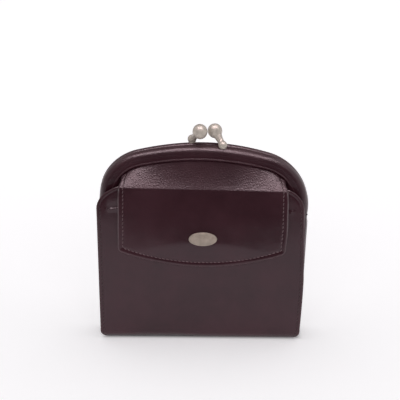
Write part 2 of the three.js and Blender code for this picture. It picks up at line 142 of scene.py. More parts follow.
# Sewn edges, and the seams on them
RIM_DROP = 0.42
RIM_WIDTH = 0.38
SEAM_DEPTH = 0.08
SEAM_WIDTH = 0.42
BESIDE_SEAM = 0.4
BACK_SEAM_FOOT = 4.0
BACK_SEAM_TOP = 58.0
BACK_SEAM_ROWS = 44
UNEVEN_STITCH = math.radians(5)

# Gussets, with waves in each fold: size, turn for each millimetre up, and shift from side to side
GUSSET_FOLD = 7.0
GUSSET_TOP = 65.5
GUSSET_HEM_FADE = 1.5
GUSSET_CLEARANCE = 0.1
GUSSET_BOTTOM_GAP = 0.2
GUSSET_ROUNDING = 1.15
GUSSET_PLEAT = 1.25
GUSSET_FOLD_WAVE = (0.4, 0.11, 1.3)
GUSSET_WAVES = ((0.35, 0.17, 1.0), (0.15, 0.53, 2.0))

# Front leaf
LEAF_TOP = 78.0
LEAF_HALF_WIDTH = 50.0
LEAF_CORNER = 11.0
LEAF_LEAN = 1.4
LEAF_SETBACK = 0.4
LEAF_BULGE = 0.9
LEFT_CORNER_DROP = 1.9
LEFT_CORNER_START = 36.0
LEFT_CORNER_WIDTH = 10.0
LEFT_CORNER_FOOT = 60.0
LEFT_CORNER_HEIGHT = 14.0
LINING_INSET = 0.4
SLIT_TOP_ANGLE = 4.6
SLIT_BOTTOM = 67.35
SLIT_RIM = 0.22
SLIT_BAND = 0.6
LEAF_FOOT = 0.5
SLIT_RIM_DROP = 0.15
SLIT_LIP = 0.26
SLIT_LIP_HEIGHT = 1.1
SLIT_SINK_HEIGHT = 3.2
SLIT_SINK_START = 0.2
SLIT_RIGHT = 37.0
SLIT_RIGHT_FADE = 3.0
SLIT_RIGHT_SHARE = 0.3
SLIT_END = 5.15
SLIT_END_FADE = 1.6

# Lip of the front bow over the flap
LIP_START = 6.0
LIP_ROUND = 0.5
LIP_FALL = 0.15
LIP_DEPTH = 1.9
LIP_BEAD = 5.65
LIP_BEAD_RISE = 0.42
LIP_BEAD_WIDTH = 0.36
# Fall of the lip bead's wear colour, which is partly a painted highlight
LIP_WEAR_AND_HIGHLIGHT_FALL = 2.2
LIP_FADE_START = 39.0
LIP_FADE_END = 41.5
BESIDE_START = 6.0
BESIDE_LENGTH = 14.0

# Flap
FLAP_CORNER_RISE = 7.4
FLAP_CORNER_ROUND = 1.6
FLAP_EDGE_BAND = 6.0
FLAP_STANDOFF = 0.4
FLAP_KNEE_HEIGHT = 76.3
FLAP_KNEE_RADIUS = 1.8
FLAP_ROOT_TAPER = 0.97
FLAP_ROOT_DEPTH = 0.25
FLAP_TUCK_DEPTH = 0.9
FLAP_TUCK_RISE = 0.35
FLAP_TUCK_POWER = 1.5
FLAP_TUCK_CRACKLE = 0.3
FLAP_CRACKLE_MIDDLE = 0.22
FLAP_CRACKLE_SIDE = 0.50
FLAP_CRACKLE_POWER = 1.5
FLAP_FALL_MIDDLE = 54.0
FLAP_FALL_LEFT = 49.0
FLAP_FALL_RIGHT = 45.0
FLAP_FALL_POWER = 1.6
FLAP_BREAK_HEIGHT = 47.9
FLAP_BREAK_BOW = 8.5
FLAP_BREAK_SPREAD = 3.4
FLAP_BREAK_LIFT = 1.35
FLAP_RISE_POWER = 1.1
FLAP_DROP_POWER = 0.9
FLAP_SIDE_LIFT = 0.82
FLAP_TIP_LIFT = 0.15
FLAP_RIGHT_DRAW = 1.0
FLAP_DRAW_TOP = 60.0
FLAP_DRAW_HEIGHT = 16.0
FLAP_WEAR_SPREAD = 0.85
FLAP_RIM_DROP = 0.33
FLAP_RIM_WIDTH = 0.8
FLAP_SEAM_DEPTH = 0.16
FLAP_SEAM_WIDTH = 0.5
FLAP_SEAM_START = 0.15
FLAP_BEAD = 0.85
FLAP_BEAD_RISE = 0.21
FLAP_BEAD_WIDTH = 0.8
SIDE_ROLL_DEPTH = 1.0
SIDE_ROLL_WIDTH = 3.2
SIDE_ROLL_START = 0.5
SIDE_ROLL_END = 5.0

# Knobs. Collar and peg each have a radius, a low end, a high end and a rounding
KNOB_SHIFT = 1.8
BALL_SPREAD = 3.6
BALL_HEIGHT = {"back_knob": 6.65, "front_knob": 6.0}
FOOT_SINK = {"back_knob": 0.85, "front_knob": 1.6}
BALL_CROSSING = 2.0
FOOT_SPREAD = 7.4
COLLAR = (1.75, -0.6, 0.45, 0.2)
PEG = (1.0, -3.0, 1.2, 0.1)
STEM_FLARE = 1.6
STEM_FLARE_FALL = 1.3
STEM_SOFTNESS = 0.16
FOOT_CAP = 0.8
PIN_COVER = 1.3
PIN_ROUND = 0.2

# Patch of floor under the purse where the table's glow is left out, a painted shadow, drawn in from its
# bottom's sides and from front and back
PAINTED_SHADOW_SIDE_INSET = 3.0
PAINTED_SHADOW_FRONT_INSET = 4.3

# Ends of noise that finishes use for colour and for gloss
PATCHES = (0.35, 0.65)
CLOUDS = (0.3, 0.7)

# Oval plate
PLATE_BACK_BEVEL = 0.25
PLATE_RIM_ROUND = 0.35
PLATE_RIM_RISE = 0.10
PLATE_GROOVE = (0.75, 1.0, 1.25)

# Rows and columns of the sheets
LEAF_TOP_ROWS = 26
LEAF_CORNER_ROWS = 18
LEAF_SIDE_ROWS = 44
LEAF_SLIT_ROW = LEAF_TOP_ROWS + LEAF_CORNER_ROWS
WALL_ROWS = 46
SHOULDER_ROWS = 26
CROWN_ROWS = 24
FOLD_ROWS = 8
UNDERSIDE_ROWS = 6
HEM_ROWS = 4
GUSSET_ROWS = 60
GUSSET_COLUMNS = 28
COVER_COLUMNS = 56
COIN_COLUMNS = 40
LINING_COLUMNS = 30
FLAP_COLUMNS = 30
BESIDE_BOW = (
    3.1, 3.8, 4.5, 4.9, SLIT_END, 5.35, 5.5, 5.65, 5.8, 5.9,
    6.0, 6.1, 6.2, 6.3, 6.4, 6.5, 6.65, 6.9, 7.4, 8.0,
)
BESIDE_EDGE = (0, 0.4, 0.8, 1.2, 1.7, 2.2, 3.0, 4.5, 6.0, 8.0)
FLAP_BANDS = (
    0.0, 0.12, 0.3, 0.5, 0.75, 1.0, 1.3, 1.6, 1.9,
    2.15, 2.4, 2.65, 2.9, 3.2, 3.6, 4.2, 5.0,
)
TURNS = 40
PLATE_SIDES = 64

# Floor in metres, and lights as size, place and aim
FLOOR_FRONT = -0.243
FLOOR_BACK = 3.2
FLOOR_HALF_WIDTH = 1.6
# Painted shade on the floor: the glow is only a share in front of and round the purse and grows to full
# at this depth behind it
FLOOR_PAINTED_SHADE_DEPTH = 0.35
FLOOR_PAINTED_SHADE_SHARE = 0.76
# Width over which the painted shadow under the purse fades into the glow
PAINTED_SHADOW_EDGE = 0.0028
CEILING = ((3.4, 3.4), (0.0, 0.8, 1.6), (0.0, 0.8, 0.0))
FRONT_FILL = ((0.8, 0.5), (0.0, -0.95, 0.40), (0.0, 0.0, 0.06))
SOFTBOX = ((0.75, 0.28), (0.0, -0.135, 0.70), (0.0, -0.04, 0.05))
PANEL_SIZE = (0.4, 0.3)
PANEL_AIM = (0.0, 0.05, 0.14)
PANEL_OUT = 0.17
PANEL_HEIGHT = 0.16
PANEL_POWERS = ((-1, 0.16), (1, 0.30))

# Sizes that follow from those above
SPRING = FRAME_TOP - SHOULDER_RADIUS - CROWN_LIFT
SHOULDER_X = HALF_WIDTH - SHOULDER_RADIUS
CROWN_RISE = SHOULDER_RADIUS + CROWN_LIFT
CROWN_RADIUS = (SHOULDER_X ** 2 + CROWN_RISE ** 2 - SHOULDER_RADIUS ** 2) / (2 * CROWN_LIFT)
CROWN_CENTRE = FRAME_TOP - CROWN_RADIUS
CROWN_ANGLE = math.atan2(SHOULDER_X, SPRING - CROWN_CENTRE)
PANEL_INSET = BOW_BAND + GAP
LEAF_SPRING = LEAF_TOP - LEAF_CORNER
FLAP_BOTTOM_RADIUS = (FLAP_HALF_WIDTH ** 2 + FLAP_CORNER_RISE ** 2) / (2 * FLAP_CORNER_RISE)
FLAP_BOTTOM_CENTRE = FLAP_TIP + FLAP_BOTTOM_RADIUS
QUARTER = math.pi / 2


def blend(start, end, share):
    """The value that share, from 0 to 1, of the way from start to end."""
    return start + (end - start) * share


def clamp(share):
    """The share, kept from 0 to 1."""
    return min(1.0, max(0.0, share))


def ease(share):
    """A share from 0 to 1 that starts and ends gently."""
    share = clamp(share)
    return share * share * (3 - 2 * share)


def hump(share):
    """A swell that is nothing at 0 and 1 and full in the middle."""
    return math.sin(math.pi * clamp(share))


def bell(distance, width):
    """A swell that is full at no distance and fades within about a width on both sides."""
    return math.exp(-((distance / width) ** 2))


def steps(start, end, count):
    """Evenly spaced values from start to end, both included."""
    return [blend(start, end, k / count) for k in range(count + 1)]


def mm(length):
    """A property's length, in millimetres."""
    return length / TO_METRES


def placed(x, y, z):
    """A place in millimetres as a point in metres, on the purse as wear has shaped it: its right
    side has sunk a little, its crown stands a hair higher and more to the right, most of all at the
    back, its lower right is drawn in, and so is the left leg of the frame."""
    rise = clamp(z / FRAME_TOP)
    turn = math.pi * x / HALF_WIDTH
    crown = CROWN_RAISE + CROWN_SHIFT * math.sin(turn) + CROWN_PEAK * math.cos(turn)
    crown *= blend(CROWN_FRONT_SHARE, 1.0, clamp((y - CROWN_FRONT) / CROWN_DEPTH))
    sunk = crown * rise ** 4 - SAG * x * rise
    drawn = FOOT_DRAW * clamp(x / HALF_WIDTH) * (1 - clamp(z / FOOT_DRAW_HEIGHT)) ** FOOT_DRAW_FALL
    beside = bell(z - LEG_DRAW_HEIGHT, LEG_DRAW_SPREAD) * clamp((y - LEG_DRAW_FRONT) / LEG_DRAW_DEPTH)
    drawn -= LEG_DRAW * clamp(-x / HALF_WIDTH) ** 2 * beside
    return Vector((x - drawn, y, z + sunk)) * TO_METRES


# Sizes and colours that a user would change


def length_property(name, description, default):
    """A length of the purse, shown in the scene's unit."""
    return bpy.props.FloatProperty(
        name=name,
        description=description,
        default=default,
        min=0.0,
        unit="LENGTH",
        precision=5,
    )


def angle_property(name, description, degrees):
    """An angle of the camera."""
    return bpy.props.FloatProperty(
        name=name,
        description=description,
        default=math.radians(degrees),
        subtype="ANGLE",
    )


def amount_property(name, description, default, least=0.0):
    """A plain number, such as a light's power."""
    return bpy.props.FloatProperty(name=name, description=description, default=default, min=least)


def colour_property(name, description, default):
    """A colour of one of the finishes."""
    return bpy.props.FloatVectorProperty(
        name=name,
        description=description,
        default=default,
        size=3,
        min=0.0,
        max=1.0,
        subtype="COLOR",
    )


class PurseLeather(bpy.types.PropertyGroup):
    """Leather thicknesses and edges."""

    cover: length_property("Cover", "Thickness of the outer leather", 0.0014)
    lining: length_property("Leaf lining", "Thickness of the leaf's inner leather", 0.0011)
    wall: length_property("Coin wall", "Thickness of the coin purse's front leather", 0.0012)
    flap: length_property("Flap", "Thickness of the flap", 0.0016)
    gusset: length_property("Gusset", "Thickness of the folded side strips", 0.0009)
    rim_round: length_property("Rim rounding", "Rounding of the leather's cut edges", 0.00040)
    seam_inset: length_property("Seam inset", "From an edge of the cover to its stitches", 0.0017)
    flap_seam_inset: length_property("Flap seam", "From the flap's edge to its stitches", 0.0024)
    stitch_pitch: length_property("Stitch pitch", "From one stitch to the next", 0.0019)
    stitch_length: length_property("Stitch length", "Length of one stitch", 0.0014)
    thread: length_property("Thread", "Thickness of the sewing thread", 0.00048)


class PurseMetal(bpy.types.PropertyGroup):
    """Metal of the clasp and the plate."""

    left_ball: length_property("Left ball", "Radius of the left ball", 0.00360)
    right_ball: length_property("Right ball", "Radius of the right ball", 0.00355)
    foot: length_property("Foot", "Radius of a knob's foot", 0.00215)
    neck: length_property("Neck", "Radius of a knob's stem at its foot", 0.00155)
    plate_dome: length_property("Plate dome", "Rise of the oval plate's face", 0.00020)


class PurseColours(bpy.types.PropertyGroup):
    """Colours of the leather, thread and metal."""

    leather: colour_property("Leather", "Colour of the outer leather", (0.037, 0.0105, 0.0156))
    # This wear colour also paints a highlight along the front bow's lip bead
    worn: colour_property("Worn leather", "Colour where the leather is rubbed", (0.084, 0.039, 0.046))
    inner: colour_property("Inner leather", "Colour of the lining and gussets", (0.030, 0.0092, 0.0125))
    flap_thread: colour_property("Flap thread", "Colour of the flap's stitches", (0.112, 0.060, 0.068))
    leaf_thread: colour_property("Leaf thread", "Colour of the other stitches", (0.034, 0.0105, 0.0143))
    nickel: colour_property("Nickel", "Colour of the clasp", (0.57, 0.505, 0.445))
    plate: colour_property("Plate", "Colour of the oval plate", (0.385, 0.312, 0.262))


class PurseStudio(bpy.types.PropertyGroup):
    """Camera, lights and floor."""

    distance: length_property("Distance", "From the purse to the camera", 0.700)
    elevation: angle_property("Elevation", "Angle of the camera above the horizon", 17.0)
    azimuth: angle_property("Azimuth", "Angle of the camera to the purse's right", 0.0)
    roll: angle_property("Roll", "Clockwise turn of the picture", 0.5)
    lens: amount_property("Lens", "Focal length in millimetres", 131.5, 10.0)
    target: bpy.props.FloatVectorProperty(
        name="Target",
        description="Place that the camera looks at",
        default=(-0.0015, -0.008, 0.0713),
        size=3,
        subtype="TRANSLATION",
    )
    floor: colour_property("Floor", "Colour of the floor", (0.88, 0.868, 0.885))
    glow: amount_property("Floor glow", "Light that the table itself gives off", 0.48)
    room: amount_property("Room", "Brightness of the dim room round the table", 0.10)
    ceiling: amount_property("Ceiling light", "Watts of the wide light that fills the table", 32.5)
    fill: amount_property("Front fill", "Watts of the light from the front that no gloss shows", 3.2)
    softbox: amount_property("Softbox", "Watts of the softbox that the leather and metal mirror", 6.8)


GROUPS = {
    "purse_leather": PurseLeather,
    "purse_metal": PurseMetal,
    "purse_colours": PurseColours,
    "purse_studio": PurseStudio,
}


# Outlines and depths of the walls


def arch_inset(x, z):
    """How far a place lies inside the frame's outline."""
    across = abs(x)
    if z <= SPRING:
        return HALF_WIDTH - across
    if across <= (z - CROWN_CENTRE) * math.tan(CROWN_ANGLE):
        return CROWN_RADIUS - math.hypot(across, z - CROWN_CENTRE)
    return SHOULDER_RADIUS - math.hypot(max(0.0, across - SHOULDER_X), z - SPRING)


def arch_height(x, inset):
    """Height of the frame's outline, drawn in by an inset, at a place across the width."""
    crown = CROWN_RADIUS - inset
    if abs(x) <= crown * math.sin(CROWN_ANGLE):
        return CROWN_CENTRE + math.sqrt(crown ** 2 - x ** 2)
    shoulder = SHOULDER_RADIUS - inset
    out = min(abs(x) - SHOULDER_X, shoulder)
    return SPRING + math.sqrt(shoulder ** 2 - out ** 2)


def up_share(z, top):
    """Share of the way from the folded bottom up to a wall's top."""
    return clamp((z - FOLD_RADIUS) / (top - FOLD_RADIUS))


def across_share(x):
    """Share of a wall's bulge at a place across the width."""
    return blend(1.0, SIDE_BULGE, (x / HALF_WIDTH) ** 2)


def back_depth(x, z):
    """Outer face of the back panel."""
    share = up_share(z, arch_height(x, PANEL_INSET))
    return BASE_HALF_DEPTH - BACK_SETBACK * share + BACK_BULGE * hump(share) * across_share(x)


def leaf_depth(x, z):
    """Outer face of the front leaf."""
    share = up_share(z, LEAF_TOP)
    return LEAF_SETBACK * share - BASE_HALF_DEPTH - LEAF_BULGE * hump(share) * across_share(x)


def coin_depth(x, z, leather):
    """Outer face of the coin purse's front wall."""
    share = up_share(z, arch_height(x, PANEL_INSET))
    foot = mm(leather.cover + leather.lining) + GAP + NOTE_GAP - BASE_HALF_DEPTH
    head = FRONT_FACE + LIP_DEPTH
    return blend(foot, head, share) - COIN_BULGE * hump(share) * across_share(x)


def corner_cut(z):
    """How far the rounded bottom corners draw the sides in."""
    reach = max(0.0, BOTTOM_CORNER - z)
    return BOTTOM_CORNER - math.sqrt(BOTTOM_CORNER ** 2 - reach ** 2)


def panel_half_width(z, top, top_width):
    """Half width of a wall that widens from the bottom to its top."""
    return blend(BASE_HALF_WIDTH, top_width, clamp(z / top)) - corner_cut(z)


def back_half_width(z):
    """Half width of the back panel."""
    return panel_half_width(z, LEG_END, HALF_WIDTH)


def leaf_half_width(z):
    """Half width of the leaf below its rounded corners."""
    return panel_half_width(z, LEAF_SPRING, LEAF_HALF_WIDTH)


def leaf_lean(z):
    """How far the leaf leans to the left."""
    return -LEAF_LEAN * clamp(z / LEAF_TOP)


def coin_half_width(z):
    """Half width of the coin purse's front, which reaches the frame's width at the bow."""
    return back_half_width(z) - COIN_SIDE_INSET * (1 - clamp(z / LEG_END))


def corner_drop(x, z):
    """How far the leaf's upper left corner is rounded off more than its right one."""
    across = ease((-x - LEFT_CORNER_START) / LEFT_CORNER_WIDTH)
    return LEFT_CORNER_DROP * across * ease((z - LEFT_CORNER_FOOT) / LEFT_CORNER_HEIGHT)


def roll_share(z):
    """0 where a wall's side is a plain edge, 1 where it is rolled round the frame."""
    return ease((z - LEG_END + ROLL_BELOW) / (ROLL_BELOW + ROLL_ABOVE))


def lip_drop(inset):
    """How far the front bow's face steps back at its lip over the flap."""
    past = inset - LIP_START
    if past <= 0:
        return 0.0
    if past < LIP_ROUND:
        return LIP_ROUND - math.sqrt(LIP_ROUND ** 2 - past ** 2)
    return blend(LIP_ROUND, LIP_DEPTH, clamp((past - LIP_ROUND) / LIP_FALL))


def side_fold(x, z):
    """How far the coin purse's front is folded back along its sides, below the frame."""
    across = 1 - clamp((coin_half_width(z) - abs(x)) / SIDE_FOLD_WIDTH)
    start = ease((z - FOLD_RADIUS) / SIDE_FOLD_START)
    return SIDE_FOLD_DEPTH * across * (1 - roll_share(z)) * start


def coin_face(x, z, leather):
    """The bow's front face, then the wall under it: a lip over the flap, a long slope beside it."""
    inset = arch_inset(x, z)
    wall = coin_depth(x, z, leather)
    lip_share = lip_drop(inset) / LIP_DEPTH
    beside_share = ease((inset - BESIDE_START) / BESIDE_LENGTH)
    fade = ease((abs(x) - LIP_FADE_START) / (LIP_FADE_END - LIP_FADE_START))
    share = blend(lip_share, beside_share, fade)
    bead = LIP_BEAD_RISE * bell(inset - LIP_BEAD, LIP_BEAD_WIDTH)
    bead *= (1 - fade) * roll_share(z)
    return blend(FRONT_FACE, wall, max(share, 1 - roll_share(z))) - bead + side_fold(x, z)


def back_face(x, z):
    """The back bow's face, run smoothly into the back panel, with a shallow channel between them."""
    inset = arch_inset(x, z)
    share = roll_share(z) * (1 - ease((inset - BACK_BOW_REACH) / BACK_BOW_FADE))
    channel = BACK_CHANNEL * bell(inset - PANEL_INSET, BACK_CHANNEL_WIDTH) * roll_share(z)
    return blend(back_depth(x, z), BACK_FACE, share) - channel


# Sheets of leather laid out in rows and columns

Line = namedtuple("Line", "flat rolled drop")
Spot = namedtuple("Spot", "x y z lift edge crackle", defaults=(0.0,))


class Station:
    """A place along a wall's edge. reach and height give where each line beside the edge runs,
    depth the wall's face, roll how far the edge is rolled round the frame, and side the way in."""

    def __init__(self, reach, height, middle, depth, roll=0.0, inward=0.0, lean=None):
        self.reach = reach
        self.height = height
        self.middle = middle
        self.depth = depth
        self.roll = roll
        self.inward = inward
        self.lean = lean

    def spot(self, line, x, z, relief):
        """The point of a line at x and z."""
        at = x + self.lean(z) if self.lean else x
        y = self.depth(at, z) + self.inward * line.drop * self.roll
        inset = blend(line.flat, line.rolled, self.roll)
        lift = relief(line.flat) * (1 - self.roll)
        if self.lean:
            z -= corner_drop(at, z)
        faded = ease((inset - BOW_CRACKLE_REACH) / BOW_CRACKLE_FADE)
        crackle = BOW_CRACKLE * self.roll * (1 - faded)
        edge = inset
        # The bead of the front bow's lip gets the wear colour as if it were an edge: some wear, and a
        # painted highlight along the lip
        if self.inward > 0:
            edge = blend(inset, min(inset, LIP_WEAR_AND_HIGHLIGHT_FALL * abs(inset - LIP_BEAD)), self.roll)
        return Spot(at, y, z, lift, edge, crackle)

    def beside(self, line, side, relief):
        """The point of a line on the left (-1) or the right (1)."""
        inset = blend(line.flat, line.rolled, self.roll)
        inset -= LEG_FILL * hump(self.roll) * (1 - clamp(line.flat / BOW_OUTER_ROUND))
        return self.spot(line, side * self.reach(inset), self.height(inset), relief)

    def row(self, lines, fill, relief):
        """All points of a row: in from the left edge, across, and out to the right edge."""
        left = [self.beside(line, -1, relief) for line in lines]
        right = [self.beside(line, 1, relief) for line in reversed(lines)]
        last = lines[-1]
        reach = self.reach(last.flat)
        height = self.height(last.flat)
        inner = []
        for k in range(1, fill):
            share = 2 * k / fill - 1
            z = blend(self.middle, height, share * share)
            inner.append(self.spot(last, reach * share, z, relief))
        return left + inner + right


def roll_lines():
    """Lines beside an edge, from the seam round the rolled frame and on to the wall."""
    seam = BOW_SEAM_ROUND
    outer = BOW_OUTER_ROUND
    deep = min(BOW_OUTER_DEPTH, BOW_DEPTH - seam)
    profile = [(SEAM_REACH, BOW_DEPTH), (seam, BOW_DEPTH)]
    for angle in steps(0, QUARTER, 4)[1:]:
        profile.append((seam - seam * math.sin(angle), BOW_DEPTH - seam + seam * math.cos(angle)))
    for angle in steps(0, QUARTER, 6):
        profile.append((outer - outer * math.cos(angle), deep - deep * math.sin(angle)))
    flat = steps(0, outer, len(profile) - 1)
    lines = [Line(place, rolled, drop) for place, (rolled, drop) in zip(flat, profile)]
    return lines + [Line(place, place, 0.0) for place in BESIDE_BOW]


def plain_lines():
    """Lines beside the edge of a wall that isn't rolled anywhere."""
    return [Line(place, place, 0.0) for place in BESIDE_EDGE]


def no_relief(inset):
    """A wall with nothing pressed into its edges."""
    return 0.0


def seam_relief(seam):
    """Relief of a sewn edge: rounded off outside the seam, and drawn in along the stitches."""

    def relief(inset):
        rounded = -RIM_DROP * (1 - clamp(inset / RIM_WIDTH))
        return rounded - SEAM_DEPTH * bell(inset - seam, SEAM_WIDTH)

    return relief


def side_station(half_width, z, depth, inward, lean=None):
    """A station on a straight side."""
    roll = roll_share(z) if inward else 0.0
    return Station(lambda inset: half_width - inset, lambda inset: z, z, depth, roll, inward, lean)


def fold_station(half_width, y, z, lean=None):
    """A station round the folded bottom or under it."""
    return Station(lambda inset: half_width - inset, lambda inset: z, z, lambda x, up: y, lean=lean)


def arc_station(centre_x, centre_z, radius, angle, middle, depth, roll=0.0, inward=0.0, lean=None):
    """A station on an arc, at an angle from straight up."""
    return Station(
        lambda inset: centre_x + (radius - inset) * math.sin(angle),
        lambda inset: centre_z + (radius - inset) * math.cos(angle),
        middle,
        depth,
        roll,
        inward,
        lean,
    )


def arch_stations(depth, inward, last_inset):
    """Stations from the frame's spring line over a shoulder to the crown's middle."""
    turns = steps(QUARTER, CROWN_ANGLE, SHOULDER_ROWS)
    shoulder = [(SHOULDER_X, SPRING, SHOULDER_RADIUS, angle) for angle in turns]
    turns = steps(CROWN_ANGLE, 0, CROWN_ROWS)
    crown = [(0.0, CROWN_CENTRE, CROWN_RADIUS, angle) for angle in turns]
    arcs = shoulder + crown[1:]
    middles = steps(SPRING, FRAME_TOP - last_inset, len(arcs) - 1)
    return [
        arc_station(x, z, radius, angle, middle, depth, 1.0, inward)
        for (x, z, radius, angle), middle in zip(arcs, middles)
    ]


def leaf_stations(inset, depth, last_inset):
    """Stations from the middle of the leaf's top edge round its corner and down to the fold."""
    end_angle = QUARTER - math.radians(SLIT_TOP_ANGLE)
    corner_x = LEAF_HALF_WIDTH - LEAF_CORNER
    radius = LEAF_CORNER - inset
    angles = steps(0, end_angle, LEAF_CORNER_ROWS)
    flats = steps(0, corner_x, LEAF_TOP_ROWS)[:-1]
    inner = radius - last_inset
    end = LEAF_SPRING + inner * math.cos(end_angle)
    middles = steps(LEAF_SPRING + inner, end, len(flats) + len(angles) - 1)
    stations = []
    for x, middle in zip(flats, middles):
        station = Station(
            lambda beside, x=x: x,
            lambda beside: LEAF_TOP - inset - beside,
            middle,
            depth,
            lean=leaf_lean,
        )
        stations.append(station)
    for angle, middle in zip(angles, middles[len(flats):]):
        corner = arc_station(corner_x, LEAF_SPRING, radius, angle, middle, depth, lean=leaf_lean)
        stations.append(corner)
    under_rim = steps(SLIT_BOTTOM - SLIT_BAND, FOLD_RADIUS + LEAF_FOOT, LEAF_SIDE_ROWS)
    for z in [SLIT_BOTTOM, SLIT_BOTTOM - SLIT_RIM, *under_rim]:
        stations.append(side_station(leaf_half_width(z) - inset, z, depth, 0.0, leaf_lean))
    return stations


def base_lift(x):
    """The bottom stands a hair off the floor left of its middle."""
    return BASE_LIFT * bell(x + BASE_LIFT_LEFT, BASE_LIFT_SPREAD)


def fold_angles():
    """Angles round a quarter fold, without its two ends."""
    return steps(0, QUARTER, FOLD_ROWS)[1:-1]


def underside_stations(half_width, front, back, radius, floor, front_lean=None):
    """Stations down the front fold, along the underside and up the back fold."""
    stations = []
    for angle in [0.0, *fold_angles()]:
        z = floor + radius * (1 - math.sin(angle))
        y = front + radius * (1 - math.cos(angle))
        stations.append(fold_station(half_width(z), y, z, front_lean))
    for y in steps(front + radius, back - radius, UNDERSIDE_ROWS):
        stations.append(fold_station(half_width(floor), y, floor))
    for angle in reversed([0.0, *fold_angles()]):
        z = floor + radius * (1 - math.sin(angle))
        y = back - radius * (1 - math.cos(angle))
        stations.append(fold_station(half_width(z), y, z))
    return stations


def linked_object(name, data):
    """An object that shows a mesh, a light or a camera in the scene."""
    made = bpy.data.objects.new(name, data)
    bpy.context.scene.collection.objects.link(made)
    return made


def shape_object(name, shape):
    """A smooth object made from a finished shape."""
    for face in shape.faces:
        face.smooth = True
    mesh = bpy.data.meshes.new(name)
    shape.to_mesh(mesh)
    shape.free()
    return linked_object(name, mesh)


def sheet_object(name, rows, outward, leaves_open=None):
    """A smooth sheet through rows of spots. outward is 1 where rows x columns face out, else -1.
    leaves_open(row, a, b) tells which faces are left out. Each spot's lift is along its normal."""
    columns = len(rows[0])
    shape = bmesh.new()
    lift = shape.verts.layers.float.new("lift")
    edge = shape.verts.layers.float.new("edge")
    crackle = shape.verts.layers.float.new("crackle")
    points = []
    for row in rows:
        for spot in row:
            point = shape.verts.new(placed(spot.x, spot.y, spot.z))
            point[lift] = spot.lift * TO_METRES
            point[edge] = spot.edge
            point[crackle] = spot.crackle
            points.append(point)
    for r in range(len(rows) - 1):
        for c in range(columns - 1):
            if leaves_open and leaves_open(r, rows[r][c], rows[r][c + 1]):
                continue
            a = r * columns + c
            loop = [points[a], points[a + 1], points[a + 1 + columns], points[a + columns]]
            shape.faces.new(loop if outward > 0 else loop[::-1])
    bmesh.ops.remove_doubles(shape, verts=shape.verts, dist=2e-6)
    bmesh.ops.dissolve_degenerate(shape, edges=shape.edges, dist=1e-6)
    shape.normal_update()
    for point in shape.verts:
        point.co += point.normal * point[lift]
    shape.verts.layers.float.remove(lift)
    return shape_object(name, shape)


def give_thickness(sheet, thickness, rim_round):
    """Gives a sheet its thickness, inwards, and rounds its rims."""
    wall = sheet.modifiers.new("thickness", "SOLIDIFY")
    wall.thickness = thickness
    wall.offset = -1.0
    wall.use_rim = True
    if rim_round > 0:
        rim = sheet.modifiers.new("rim", "BEVEL")
        rim.width = rim_round
        rim.segments = 3
        rim.limit_method = "ANGLE"
        rim.angle_limit = math.radians(50)
        rim.use_clamp_overlap = True


def finish_piece(piece, material, slot, *nodes):
    """Gives a piece its material, puts it on the body that it rides on, and hides the CAD nodes that it
    stands for.
    """
    piece.data.materials.clear()
    piece.data.materials.append(material)
    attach(piece, BODY)
    if nodes:
        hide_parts(*nodes)


# Finishes


def feed(tree, node, values):
    """Gives each named or numbered input of a node its value, or another node's output."""
    for key, value in values.items():
        if isinstance(value, bpy.types.NodeSocket):
            tree.links.new(value, node.inputs[key])
        else:
            node.inputs[key].default_value = value


def add_node(tree, kind, inputs=None, **settings):
    """Adds a shader or geometry node."""
    node = tree.nodes.new(kind)
    for key, value in settings.items():
        setattr(node, key, value)
    feed(tree, node, inputs or {})
    return node


def new_finish(name):
    """A material with only its output and a Principled shader. Returns it, its tree, its shader and
    the place that its patterns follow."""
    material = bpy.data.materials.new(name)
    material.use_nodes = True
    tree = material.node_tree
    tree.nodes.clear()
    output = tree.nodes.new("ShaderNodeOutputMaterial")
    shader = tree.nodes.new("ShaderNodeBsdfPrincipled")
    tree.links.new(shader.outputs["BSDF"], output.inputs["Surface"])
    place = tree.nodes.new("ShaderNodeTexCoord").outputs["Object"]
    return material, tree, shader, place


def share_of(tree, value, low, high, start=0.0, end=1.0):
    """Maps a value from low..high to start..end."""
    inputs = {"Value": value, "From Min": low, "From Max": high, "To Min": start, "To Max": end}
    return add_node(tree, "ShaderNodeMapRange", inputs).outputs["Result"]


def mix_colour(tree, share, first, second):
    """Mixes two colours."""
    inputs = {0: share, 6: first, 7: second}
    return add_node(tree, "ShaderNodeMix", inputs, data_type="RGBA").outputs[2]


def calculate(tree, operation, first, second):
    """One sum of two values."""
    return add_node(tree, "ShaderNodeMath", {0: first, 1: second}, operation=operation).outputs[0]


def noise(tree, place, scale, detail):
    """Soft noise at a place."""
    inputs = {"Vector": place, "Scale": scale, "Detail": detail}
    return add_node(tree, "ShaderNodeTexNoise", inputs).outputs["Fac"]


def attribute(tree, name):
    """A value that the sheets carry at each point."""
    return add_node(tree, "ShaderNodeAttribute", attribute_name=name).outputs["Fac"]


def bump(tree, height, strength, distance, **below):
    """Fine relief, on its own or on the Normal of relief below it."""
    inputs = {"Height": height, "Strength": strength, "Distance": distance, **below}
    return add_node(tree, "ShaderNodeBump", inputs).outputs["Normal"]


def opaque(colour, factor=1.0):
    """A colour with full opacity, lightened or darkened by a factor."""
    return (*(channel * factor for channel in colour), 1.0)


